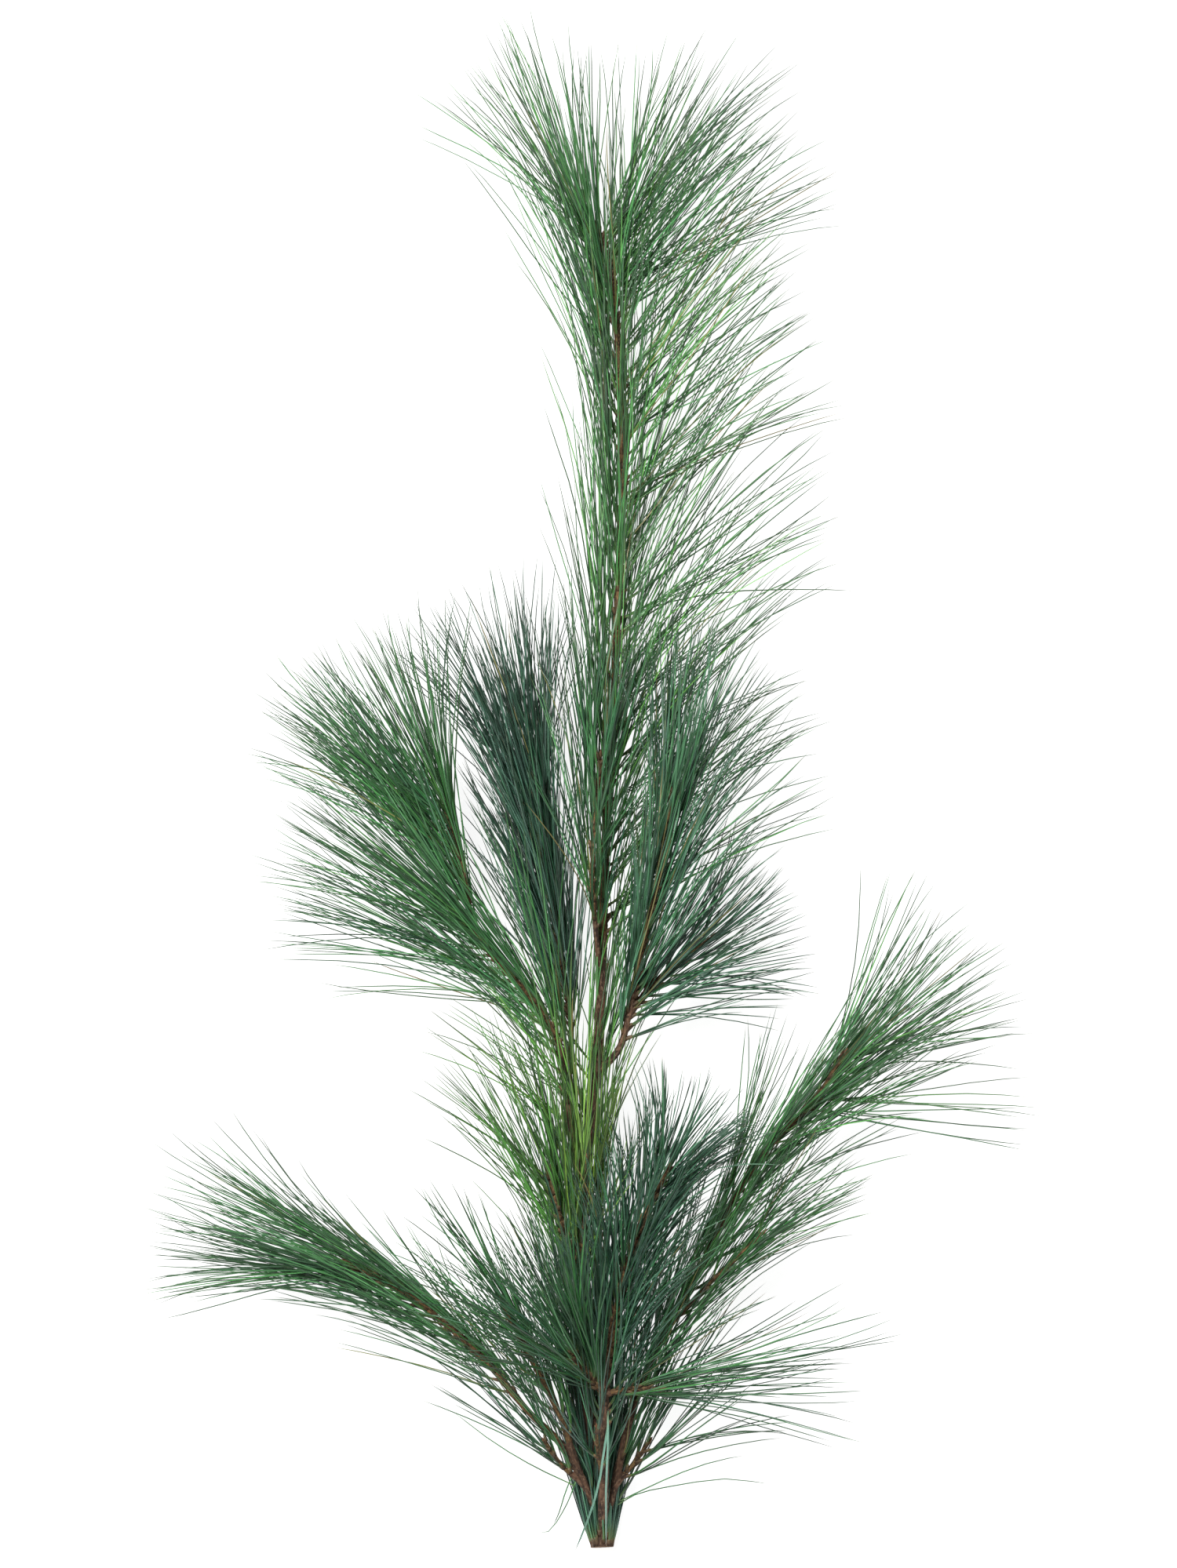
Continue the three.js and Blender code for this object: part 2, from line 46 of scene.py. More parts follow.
ANY_TURN = (0, 6.28)  # radians, for random turns

# Picture and floor
FOCUS_HEIGHT = 40  # of the stems, where the picture's scale is taken
CAMERA_HEIGHT = 7000
PICTURE_CENTRE = (-2, 7)
PICTURE_HEIGHT = 799.6
FLOOR_HALF = 6000
FLOOR_LEVEL = -0.4

# How bundles stand on a twig and open
ANGLE_SPREAD = 0.3  # radians, of bundles round a twig and needles round a bundle
WIDEST_SHARE = 1.15  # of a row's opening, for its widest bundles
OUTER_SKEW = 0.85  # power under 1, which draws more bundles near the widest
DEEP_CURL = 4  # degrees, of bundles above and below the twig
TIP_STRETCH = 0.2  # last share of a shoot, which goes over to the fan
DEEP_FAN_SHARE = 0.5  # fan above and below, against its wider side
FAN_POWER = 0.8  # under 1 keeps the fan wide further round
FAN_CURL_SHARE = 0.6  # of the curl, kept at the very tip
OPENING_SPREAD = 3
CURL_SPREAD = 4
LEAST_OPENING = 2
LONGEST_SHARE = 1.1  # of a row's length, for its longest bundles
SHORTEST_SPREADS = 3.5  # by which its shortest ones fall short
SETTLING_LENGTH = 9  # over which a bundle turns to its own opening
CURL_POWER = 1.2  # how late along a bundle its curl comes

# Needles
NEEDLES_IN_BUNDLE = 5
NEEDLE_RADIUS = 0.37  # centre to edge of the three-sided section
NEEDLE_STOPS = np.array([0, 0.025, 0.06, 0.12, 0.22, 0.36, 0.52, 0.7, 0.87, 1])
NEEDLE_TAPER = np.array([0.7, 0.85, 0.95, 1, 1, 0.97, 0.92, 0.84, 0.68, 0.1])  # radius at each stop
SPLAY = 7  # degrees between a needle and the middle of its bundle
SPLAY_SPREAD = 4
SPLAY_LENGTH = 18  # over which a needle comes away from its bundle
GATHER = (-0.3, 1.2)  # share of the splay that a bundle has lost at its tips
BOW = 10  # degrees that a needle bends on its own, standard deviation
WAVES = (15, 19)  # along a needle for a radian of its waver, to the side and up
TWIST = 1.2  # radians along a needle, standard deviation
ROOT_DEPTH = 0.6  # of a needle's root in the wood
ROOT_RING = 0.3  # from the middle of a bundle to the roots of its needles
LYING_HEIGHTS = (0.5, 2.5)  # of needles that lie on the surface
LENGTH_SPREAD = 0.03  # among the needles of a bundle, as a share
GIRTH_SPREAD = 0.08
BUNDLE_TONE_SPREAD = 0.1
NEEDLE_TONE_SPREAD = 0.08
SILVER = (0.2, 1.8)  # least and most of a needle's pale bloom, which is partly painted highlight

# Papery sheaths
SHEATH_STOPS = np.array([0, 0.3, 0.62, 0.9, 1])
SHEATH_RADII = np.array([1.25, 1.05, 0.9, 0.72, 0.1])
SHEATH_LENGTHS = (2.5, 5.5)
SHEATH_SIDES = 6
SHEATH_SPREAD = 0.1  # of their girth, as a share
SHEATH_DEPTH = 0.9
SHEATH_LEVEL = 1.6  # least height of its middle line

# Wood
FLARE = 0.35  # share by which a stem's foot swells
FLARE_LENGTH = 6
TWIG_TIP_RADIUS = 1.4
WOOD_SIDES = 20
TWIG_STEP = 0.9  # between the rings of a twig
TWIG_OVERLAP = 1.5  # of the twig with its bare wood
TWIG_ROUNDING = 1.5  # length of its tip, which draws in by TWIG_DRAWN_IN of its radius
TWIG_DRAWN_IN = 0.4
TWIG_POINT = 0.8  # from its last ring to its end
TWIG_SHARE = 0.93  # of the wood's radius, between the ridges
RIDGE_HEIGHT = 0.55
RIDGE_WIDTH = 0.75
RIDGE_LENGTH = 2.6  # over which a ridge dies away towards the foot
RIDGE_TOP = 0.8  # and towards the tip
BUDS = 5
LARGE_BUD, SMALL_BUD = (8, 10), (4, 6)
BUD_LEAN = (22, 34)  # degrees, of the small ones round the large one
BUD_DEPTH = 1.2
LARGE_BUD_LEAN = 4
LARGE_GIRTH, SMALL_GIRTH = 0.2, 0.19  # half a bud's width against its length
SCALE_ROWS, SCALE_WINDINGS = 7, 3  # along a bud and round it
BUD_SIDES = 16
BUD_STOPS = np.linspace(0, 1, 19)
SCALE_STEP = 0.16  # of a bud's scales, against its radius
STEM_STEP = 2  # between the rings of the bare wood
STEM_POINT = 0.3  # from its last ring to its end
SAMPLE_STEP = 0.7  # between the points that nearest_on_stems tries
BLOCK = 3000  # points handled at once
FUSED_STEP = 0.6  # of the remesh that joins the stems
FURROW_DEPTH, PLATE_DEPTH, SCAR_HEIGHT, RING_HEIGHT = 0.2, 0.16, 0.22, 0.1
FURROW_GRAIN = [1.1, 1.1, 0.16]  # noise cells to a millimetre: across, over and along the stem
PLATE_GRAIN = [0.7, 0.7, 0.5]
RELIEF_RADIUS = 4.2  # of the stem on which the bark has those depths
BARK_BEGINS = (-384.3, -383)  # y between which the bark's relief sets in
RING_SPACING, RING_PLACE, RING_WIDTH = 43, 12, 3.2
CUT_RINGS, CUT_SIDES = 26, 40
CUT_SHARE = 0.97  # of the stem's radius, for the cut face
CUT_MIDDLE = 0.12  # radius of its innermost ring
CUT_PROUD, PITH_PROUD, RIM_SUNK = 0.25, 0.3, 0.3  # of the cut face, against the wood's end
CUT_LEVEL = 0.02  # least height of the cut face
RUN_APART = 400  # between the runs of two stems, so that their bark differs

# Colours that the finishes mix in
PALE_FOOT = (0.2, 0.26, 0.07, 1)
DEEP_END = (0.05, 0.09, 0.055, 1)
TAN_TIP = (0.22, 0.13, 0.07, 1)
SPENT_NEEDLE = (0.3, 0.22, 0.07, 1)
PALE_PORE = (0.36, 0.25, 0.15, 1)
DARK_PITH = (0.16, 0.08, 0.04, 1)
BROWN_RIM = (0.14, 0.08, 0.045, 1)
PITH_EDGE, RIM_EDGE = (0.0002, 0.0006), (0.0051, 0.0057)  # metres from the middle of the cut

# Routes of the stems, from where each one leaves its parent to its tip, as [x, y, z]
ROUTES = {
    "main": [
        [5, -384, 4], [4, -364, 4], [1, -330, 10], [-4, -293, 19], [-6, -229, 30],
        [-1, -165, 39], [4, -109, 43], [6, -37, 46], [11, 59, 49], [15, 151, 52],
        [14, 215, 52], [9, 265, 52], [3, 288, 52],
    ],
    "low_left": [
        [4, -373, 5], [-5, -349, 16], [-16, -330, 26], [-33, -313, 34], [-52, -290, 40],
        [-73, -270, 44], [-98, -251, 46], [-124, -237, 47],
    ],
    "low_left_inner": [[-7, -345, 18], [-16, -317, 36], [-27, -294, 47], [-40, -268, 54], [-46, -256, 56]],
    "front": [
        [5, -375, 6], [6, -345, 24], [6, -313, 41], [8, -287, 51], [12, -263, 59],
        [18, -238, 65], [27, -212, 70], [39, -188, 74],
    ],
    "front_twig_left": [[6, -304, 45], [-2, -294, 54], [-10, -282, 62]],
    "front_twig_right": [[6, -304, 45], [18, -301, 50], [35, -301, 53]],
    "low_right": [
        [6, -373, 5], [12, -349, 13], [21, -311, 23], [36, -274, 30], [57, -236, 36],
        [75, -199, 40], [94, -173, 44], [114, -153, 46], [128, -131, 48],
    ],
    "low_right_inner": [[36, -274, 30], [55, -252, 43], [77, -231, 53], [87, -221, 57]],
    "mid_left": [
        [-5, -197, 34], [-11, -165, 44], [-15, -135, 50], [-24, -112, 53], [-42, -90, 55],
        [-59, -68, 57], [-66, -39, 58], [-72, -8, 58],
    ],
    "mid_left_inner": [
        [-13, -150, 47], [-11, -117, 41], [-16, -81, 37], [-22, -41, 36], [-26, -14, 36], [-28, 11, 36],
    ],
    "mid_right": [
        [3, -140, 41], [14, -127, 49], [19, -107, 56], [26, -73, 62], [34, -37, 65], [41, 3, 66],
    ],
    "mid_right_outer": [[18, -111, 55], [30, -96, 54], [48, -81, 52], [61, -71, 51]],
    "leader_side": [[4, -89, 44], [1, -60, 58], [0, -35, 63], [4, 22, 68]],
    "centre_left": [[-6, -249, 26], [-14, -222, 40], [-23, -188, 47]],
    "centre_front": [[-6, -243, 27], [-5, -226, 41], [-4, -197, 54], [-3, -183, 59]],
    "base_left": [[-4, -352, 14], [-15, -342, 24], [-25, -328, 31]],
    "base_right": [[11, -353, 12], [20, -342, 18], [30, -328, 22]],
    "base_front": [[6, -350, 21], [3, -336, 37], [2, -320, 47]],
}

# What a row of bundles has where its own line leaves it out. Angles are in degrees, and a pair
# of values holds for the row's start and its end.
# leafy and until: the shares of the route between which the row stands
# length: of its needles
# left and right: opening at the start, at the end, and curl towards the tips, seen from above
# up and down: opening above and below the twig
# fan: widest opening to the left and to the right at the very tip of a shoot
# hollow: how near the fan's needles come to its middle, as a share of its width
# lean: turn of the whole spray to the left
# inner: opening of the closest bundles, as a share of the row's
# crowd: over 1 sets more bundles near the end
# swing: over 0 sets more bundles on the right side, under 0 on the left
# flat: how far bundles are pushed from above and below to the two sides
# waver: how far a needle sways along its length
# uneven: spread of the bundles' lengths, as a share
# emerging: angle at which a bundle leaves the twig
# tone: from 0, blue-green, to 1, yellow-green
# bud: size of the buds, against the largest
# slot: finish of the needles, for the whole shoot
USUAL = dict(route="main", until=1, lean=(0, 0), up=16, down=16, inner=0.2, crowd=1, swing=0, flat=0.55,
             hollow=0.02, waver=1.8, uneven=0.07, emerging=36, bud=0.6, slot="needle_green")

# Each shoot: bare is the share of its route that is bare wood, wood its radius at the foot and
# where the needles start, and the rest describes its row of bundles
SHOOTS = {
    "leader": dict(
        route="main", bare=0.47, leafy=0.47, wood=(4.6, 2.5), bundles=152, length=(134, 114),
        left=(5, 16, -8), right=(50, 58, 6), fan=(10, 60), inner=0.15, crowd=1.1, swing=(0.95, 0.6),
        tone=0.6, flat=0.85, hollow=0.25, bud=1),
    "leader_side": dict(
        bare=0.3, leafy=0.2, wood=(1.6, 1.3), bundles=24, length=(84, 80), lean=(2, 0), left=(10, 8, 2),
        right=(12, 12, 6), up=12, down=8, fan=(12, 14), inner=0.4, crowd=1.3, swing=0.2, tone=0.25,
        bud=0.4),
    "low_left": dict(
        bare=0.28, leafy=0.44, wood=(2.2, 1.8), bundles=66, length=(90, 104), lean=(9, 5), left=(12, 20, 4),
        right=(3, 6, 0), fan=(34, 26), inner=0.3, crowd=1.6, swing=(0.2, -0.5), tone=0.4, flat=0.2),
    "low_left_inner": dict(
        bare=0.2, leafy=0.2, wood=(1.9, 1.7), bundles=20, length=(80, 78), lean=(8, 12), left=(16, 14, 6),
        right=(12, 10, 2), up=18, down=14, fan=(20, 16), inner=0.3, tone=0.4),
    "front": dict(
        bare=0.5, leafy=0.5, wood=(2.7, 2.0), bundles=80, length=(80, 60), lean=(0, -3), left=(20, 26, 12),
        right=(16, 26, 20), up=26, down=14, fan=(44, 34), inner=0.4, tone=0.22, waver=3.5,
        slot="needle_dark"),
    "front_twig_left": dict(
        bare=0.15, leafy=0.15, wood=(1.7, 1.4), bundles=34, length=(88, 90), left=(24, 24, 8),
        right=(24, 24, 4), up=14, down=10, fan=(30, 26), inner=0.3, tone=0.3),
    "front_twig_right": dict(
        bare=0.15, leafy=0.15, wood=(1.7, 1.4), bundles=13, length=(104, 118), lean=(8, 9),
        left=(14, 16, -4), right=(24, 26, 6), up=14, down=12, fan=(18, 18), inner=0.1, swing=0.2, tone=0.28,
        uneven=0.15),
    "low_right": dict(
        bare=0.26, leafy=0.2, wood=(2.3, 1.9), bundles=80, length=(100, 106), lean=(2, -12),
        left=(10, 20, 0), right=(16, 46, 8), up=14, fan=(24, 46), inner=0.05, crowd=1.35, swing=(0, 0.35),
        tone=0.5, uneven=0.1),
    "low_right_inner": dict(
        bare=0.2, leafy=0.15, wood=(1.4, 1.1), bundles=10, length=(74, 80), lean=(2, 4), left=(16, 18, 2),
        right=(14, 14, 8), up=18, down=10, fan=(24, 16), tone=0.5, flat=0.1, bud=0.4),
    "mid_left": dict(
        bare=0.38, leafy=0.32, wood=(2.2, 1.8), bundles=104, length=(128, 114), lean=(5, 32),
        left=(40, 18, 8), right=(12, 32, 0), fan=(28, 42), inner=0, crowd=1.5, tone=0.42, flat=0.4),
    "mid_left_inner": dict(
        bare=0.25, leafy=0.2, wood=(1.6, 1.3), bundles=124, length=(84, 104), lean=(2, 9), left=(14, 14, 6),
        right=(10, 12, 2), up=10, down=12, fan=(36, 20), inner=0, crowd=1.15, swing=(-0.7, -0.1),
        tone=0.02, uneven=0.18, slot="needle_dark"),
    "mid_right": dict(
        bare=0.4, leafy=0.25, wood=(1.9, 1.6), bundles=60, length=(100, 92), left=(6, 6, 0),
        right=(26, 30, 14), down=14, fan=(12, 36), inner=0.05, crowd=1.2, swing=0.25, tone=0.5, flat=0.3,
        slot="needle_dark"),
    "mid_right_outer": dict(
        bare=0.25, leafy=0.02, wood=(1.7, 1.5), bundles=26, length=(86, 62), lean=(-12, 14),
        left=(16, 16, 4), right=(44, 14, 6), up=20, down=26, fan=(24, 20), crowd=0.6, swing=0.1, tone=0.25,
        slot="needle_dark"),
    "centre_left": dict(
        bare=0.36, leafy=0.2, wood=(1.7, 1.3), bundles=20, length=(92, 84), lean=(0, 4), left=(18, 26, 8),
        right=(8, 8, 0), fan=(34, 10), swing=-0.2, tone=0.48, bud=0.4, slot="needle_yellow"),
    "centre_front": dict(
        bare=0.2, leafy=0.1, wood=(1.7, 1.3), bundles=8, length=(92, 92), left=(8, 10, 2), right=(8, 8, 2),
        up=12, down=8, fan=(14, 12), inner=0.3, tone=0.85, bud=0.4, slot="needle_yellow"),
    "base_left": dict(
        bare=0.38, leafy=0.3, wood=(1.6, 1.2), bundles=6, length=(80, 82), left=(18, 30, 8),
        right=(10, 10, 4), up=18, down=18, fan=(34, 14), tone=0.3, bud=0.35),
    "base_right": dict(
        bare=0.34, leafy=0.2, wood=(1.6, 1.2), bundles=8, length=(84, 88), left=(8, 10, 2),
        right=(18, 36, 20), up=18, down=18, fan=(14, 46), swing=0.2, tone=0.3, bud=0.35),
    "base_front": dict(
        bare=0.3, leafy=0.2, wood=(1.3, 1.1), bundles=4, length=(84, 84), left=(22, 24, 2),
        right=(22, 24, 2), up=4, down=6, fan=(16, 16), inner=0.8, tone=0.2, flat=0.95, bud=0.35,
        slot="needle_dark"),
}

# More rows of bundles on the stems, each kept with the needles of the shoot that it is named for.
# A row that names no route stands on the main stem
WOOD_ROWS = {
    "leader": [
        dict(leafy=0.935, until=0.998, bundles=26, length=(128, 124), left=(20, 30, 10),
             right=(58, 62, 4), down=20, inner=0.75, swing=0.9, tone=0.55),
        dict(leafy=0.83, until=0.93, bundles=9, length=(124, 112), left=(24, 28, -2),
             right=(10, 10, 0), up=14, down=14, inner=0.7, swing=-0.9, tone=0.55),
    ],
    "low_left": [
        dict(route="low_left", leafy=0.06, until=0.3, bundles=3, length=(88, 92), lean=(4, 4),
             left=(12, 16, 2), right=(8, 8, 0), up=10, down=6, inner=0.1, swing=-0.3, tone=0.2),
    ],
    "low_right": [
        dict(route="low_right", leafy=0.02, until=0.22, bundles=6, length=(92, 96), left=(6, 8, 0),
             right=(10, 16, 4), up=12, down=6, inner=0.1, swing=0.2, tone=0.2, flat=0),
    ],
    "front": [
        dict(route="front", leafy=0.3, until=0.52, bundles=22, length=(84, 78), left=(16, 20, 6),
             right=(24, 26, 8), up=4, swing=0.2, tone=0.2, waver=3, flat=0.9),
    ],
    "mid_right": [
        dict(route="mid_right", leafy=0.15, until=0.3, bundles=10, length=(76, 88), lean=(-12, -8),
             left=(8, 8, 0), right=(40, 38, 8), up=20, down=20, inner=0.3, swing=0.6, tone=0.4),
    ],
    "base_front": [
        dict(leafy=0.001, until=0.003, bundles=28, length=(96, 96), left=(2, 3, 0),
             right=(2, 3, 0), up=2, down=2, inner=0.1, tone=0.1, flat=0.3, emerging=24, uneven=0.22),
        dict(leafy=0.003, until=0.02, bundles=20, length=(96, 96), left=(3, 5, 0),
             right=(3, 5, 0), up=2, down=2, inner=0.1, tone=0.1, flat=0.4, emerging=24, uneven=0.22),
        dict(leafy=0.03, until=0.14, bundles=30, length=(92, 92), left=(5, 8, 0),
             right=(6, 12, 0), up=3, down=3, swing=0.2, tone=0.15),
        dict(leafy=0.12, until=0.23, bundles=16, length=(88, 88), left=(12, 14, 0),
             right=(10, 12, 0), up=6, down=6, inner=0.1, tone=0.2),
    ],
    "centre_front": [
        dict(leafy=0.2, until=0.3, bundles=15, length=(84, 76), left=(7, 8, 2),
             right=(6, 6, 0), up=6, down=6, tone=0.95),
    ],
    "centre_left": [
        dict(leafy=0.14, until=0.28, bundles=18, length=(92, 90), lean=(2, 4),
             left=(12, 16, 6), right=(8, 8, 0), up=8, down=8, inner=0.1, swing=-0.5, tone=0.5),
        dict(leafy=0.28, until=0.38, bundles=8, length=(84, 90), lean=(14, 14),
             left=(40, 34, 8), right=(8, 8, 0), up=12, down=12, inner=0.4, swing=-0.6, tone=0.55),
        dict(route="mid_left", leafy=0.05, until=0.3, bundles=10, length=(84, 84), lean=(10, 10),
             left=(24, 28, 8), right=(12, 8, 0), up=12, down=12, inner=0.3, swing=0.2, tone=0.6),
    ],
    "leader_side": [
        dict(leafy=0.32, until=0.47, bundles=14, length=(88, 92), lean=(-3, -3),
             left=(2, 2, 0), right=(9, 11, 2), up=3, down=5, swing=0.8, tone=0.75, emerging=20),
    ],
}

SHOOTS = {name: {**USUAL, "route": name, **shoot} for name, shoot in SHOOTS.items()}
WOOD_ROWS = {name: [{**USUAL, **row} for row in rows] for name, rows in WOOD_ROWS.items()}

# Single needles that hang out of the tufts at the foot, from root to tip, and their bloom, which on the
# front ones is a painted highlight over the whole needle
NO_STRAYS = dict(silver=1, girth=1, lines=[])
STRAYS = {
    # silver of 5 spreads the pale bloom over all three sides of these two needles, a painted highlight
    "base_front": dict(silver=5, girth=1.9, lines=[
        [[8, -318, 54], [6, -330, 60], [3, -350, 58], [-3, -370, 44], [-9, -385, 30]],
        [[8, -312, 54], [8, -330, 60], [7, -350, 54], [7, -368, 38], [7, -383, 24]],
    ]),
    "base_left": dict(silver=0.6, girth=1, lines=[
        [[-8, -348, 18], [-12, -359, 15], [-17, -369, 7], [-22, -376, 2], [-28, -377, 1]],
        [[-10, -346, 20], [-14, -356, 18], [-17, -366, 9], [-20, -373, 2]],
    ]),
    "base_right": dict(silver=0.6, girth=1, lines=[
        [[13, -362, 12], [24, -356, 12], [44, -352, 9], [68, -349, 6], [92, -352, 3]],
        [[14, -360, 14], [26, -354, 18], [44, -346, 16], [62, -340, 12], [78, -337, 8]],
        [[-9, -352, 20], [-30, -342, 18], [-52, -329, 12], [-72, -314, 8]],
    ]),
}
STRAY_REFERENCE = [0.6, 0.1, 0.8]  # direction from which a stray needle's turn is measured
STRAY_CHANCE = 0.75

# Shapes


def unit(vectors):
    """Each vector divided by its own length."""
    return vectors / np.linalg.norm(vectors, axis=-1, keepdims=True)


def mix(a, b, share):
    """a times one minus the share, plus b times the share."""
    return a + (b - a) * share


def ramp(value, low, high):
    """The value's place between low and high, held from 0 to 1 and eased at both ends."""
    t = np.clip((value - low) / (high - low), 0, 1)
    return t * t * (3 - 2 * t)


def smooth_route(points, steps=24):
    """A Catmull-Rom curve: on each stretch from b to c, with a before and d after it, the point
    is half of 2b + (c - a)t + (2a - 5b + 4c - d)t^2 + (3b - 3c + d - a)t^3."""
    p = np.array(points, float)
    p = np.vstack([2 * p[:1] - p[1:2], p, 2 * p[-1:] - p[-2:-1]])
    t = np.linspace(0, 1, steps, endpoint=False)[None, :, None]
    a, b, c, d = (p[k : len(p) - 3 + k, None] for k in range(4))
    cubic = 2 * b + (c - a) * t + (2 * a - 5 * b + 4 * c - d) * t**2 + (3 * b - 3 * c + d - a) * t**3
    return np.vstack([cubic.reshape(-1, 3) / 2, p[-2:-1]])


def length_along(line):
    """The running sum of the distances between neighbouring points."""
    return np.concatenate([[0], np.cumsum(np.linalg.norm(np.diff(line, axis=0), axis=1))])


def point_and_heading(line, share):
    """The points at these shares of a line's length, and the unit direction of the line there."""
    run = length_along(line) / length_along(line)[-1]
    at = lambda s: np.stack([np.interp(s, run, line[:, k]) for k in range(3)], -1)
    reach = 0.01
    return at(share), unit(at(np.clip(share + reach, 0, 1)) - at(np.clip(share - reach, 0, 1)))


def side_and_rise(heading):
    """Two directions square to a heading: heading x up is level and to the right of growth, and
    that side x heading points upwards."""
    side = unit(np.cross(heading, [0.0, 0.0, 1.0]))
    return side, np.cross(side, heading)


LINES = {name: smooth_route(points) for name, points in ROUTES.items()}


def wave_noise(points, seed):
    """A smooth random field from -1 to 1: values fixed by a hash at whole-number places, eased
    between the eight places round each point."""
    cell = np.floor(points)
    local = points - cell
    ease = local * local * (3 - 2 * local)
    total = 0
    for corner in np.ndindex(2, 2, 2):
        place = cell + corner
        mixed = np.sin(place @ [127.1, 311.7, 74.7] + seed * 19.19) * 43758.5453
        weight = np.prod(np.where(corner, ease, 1 - ease), axis=-1)
        total = total + (mixed - np.floor(mixed)) * weight
    return 2 * total - 1


def layered_noise(points, seed, layers=3):
    """wave_noise added to itself at twice the detail and half the height for each layer."""
    return sum(wave_noise(points * 2**n, seed + n) / 2**n for n in range(layers))


def put_mesh(name, vertices, quads, triangles, material):
    """One object at the origin from an array of points in millimetres and arrays of faces."""
    mesh = bpy.data.meshes.new(name)
    mesh.from_pydata((vertices * MM).tolist(), [], quads.tolist() + triangles.tolist())
    mesh.shade_smooth()
    mesh.materials.append(material)
    piece = bpy.data.objects.new(name, mesh)
    bpy.context.scene.collection.objects.link(piece)
    return piece


def note(piece, name, values):
    """Keeps one value or one vector for each point of a piece, for its material to read."""
    kind, field = ("FLOAT", "value") if np.ndim(values) == 1 else ("FLOAT_VECTOR", "vector")
    attribute = piece.data.attributes.new(name, kind, "POINT")
    attribute.data.foreach_set(field, np.asarray(values, np.float32).ravel())


def note_each(piece, name, values):
    """Keeps one value for each of the like tubes of a piece, on all points of the tube."""
    note(piece, name, np.repeat(values, len(piece.data.vertices) // len(values)))


def even_turns(around):
    """Evenly spaced angles once round."""
    return 2 * np.pi * np.arange(around) / around


def ring_points(centre, side, rise, radius, t):
    """Points round each centre: centre + radius (cos t side + sin t rise)."""
    ring = np.cos(t)[..., None] * side[..., None, :] + np.sin(t)[..., None] * rise[..., None, :]
    return centre[..., None, :] + radius[..., None] * ring


def tubes_faces(count, rings, around):
    """Faces of many like tubes, each with rings of points and one more point at its far end:
    quads between neighbouring rings, a fan of triangles to the end point, and a fan that closes
    the foot."""
    base = (np.arange(count) * (rings * around + 1))[:, None, None]
    ring = (np.arange(rings - 1) * around)[None, :, None]
    k = np.arange(around)[None, None, :]
    after = (k + 1) % around
    low = base + ring
    quads = np.stack([low + k, low + after, low + around + after, low + around + k], -1).reshape(-1, 4)
    last = base[:, 0] + (rings - 1) * around
    tip = np.stack([last + k[0], last + after[0], last + around + 0 * k[0]], -1)
    fan = np.arange(1, around - 1)[None, :]
    foot = np.stack([base[:, 0] + 0 * fan, base[:, 0] + fan + 1, base[:, 0] + fan], -1)
    return quads, np.concatenate([tip.reshape(-1, 3), foot.reshape(-1, 3)])


def closed_tube(skin, end):
    """Points, quads and triangles of one tube, closed at its foot and drawn to a point."""
    return np.concatenate([skin.reshape(-1, 3), end]), *tubes_faces(1, *skin.shape[:2])


def tube_piece(name, material, around, stops, lines, radii, turn, reference):
    """Many like tubes as one mesh. Their rings stand square to the lines, in directions counted
    from heading x reference and turned by each ring's own turn. The last ring is one point. Each
    point keeps its share of the length as "along"."""
    count = len(lines)
    padded = np.concatenate([lines[:, :1], lines, lines[:, -1:]], axis=1)
    heading = unit(padded[:, 2:] - padded[:, :-2])
    side = unit(np.cross(heading, reference[:, None]))
    skin = ring_points(lines, side, np.cross(side, heading), radii, turn[..., None] + even_turns(around))
    vertices = np.concatenate([skin[:, :-1].reshape(count, -1, 3), lines[:, -1:]], axis=1)
    quads, triangles = tubes_faces(count, len(stops) - 1, around)
    piece = put_mesh(name, vertices.reshape(-1, 3), quads, triangles, material)
    note(piece, "along", np.tile(np.append(np.repeat(stops[:-1], around), 1), count))
    return piece


# Needles


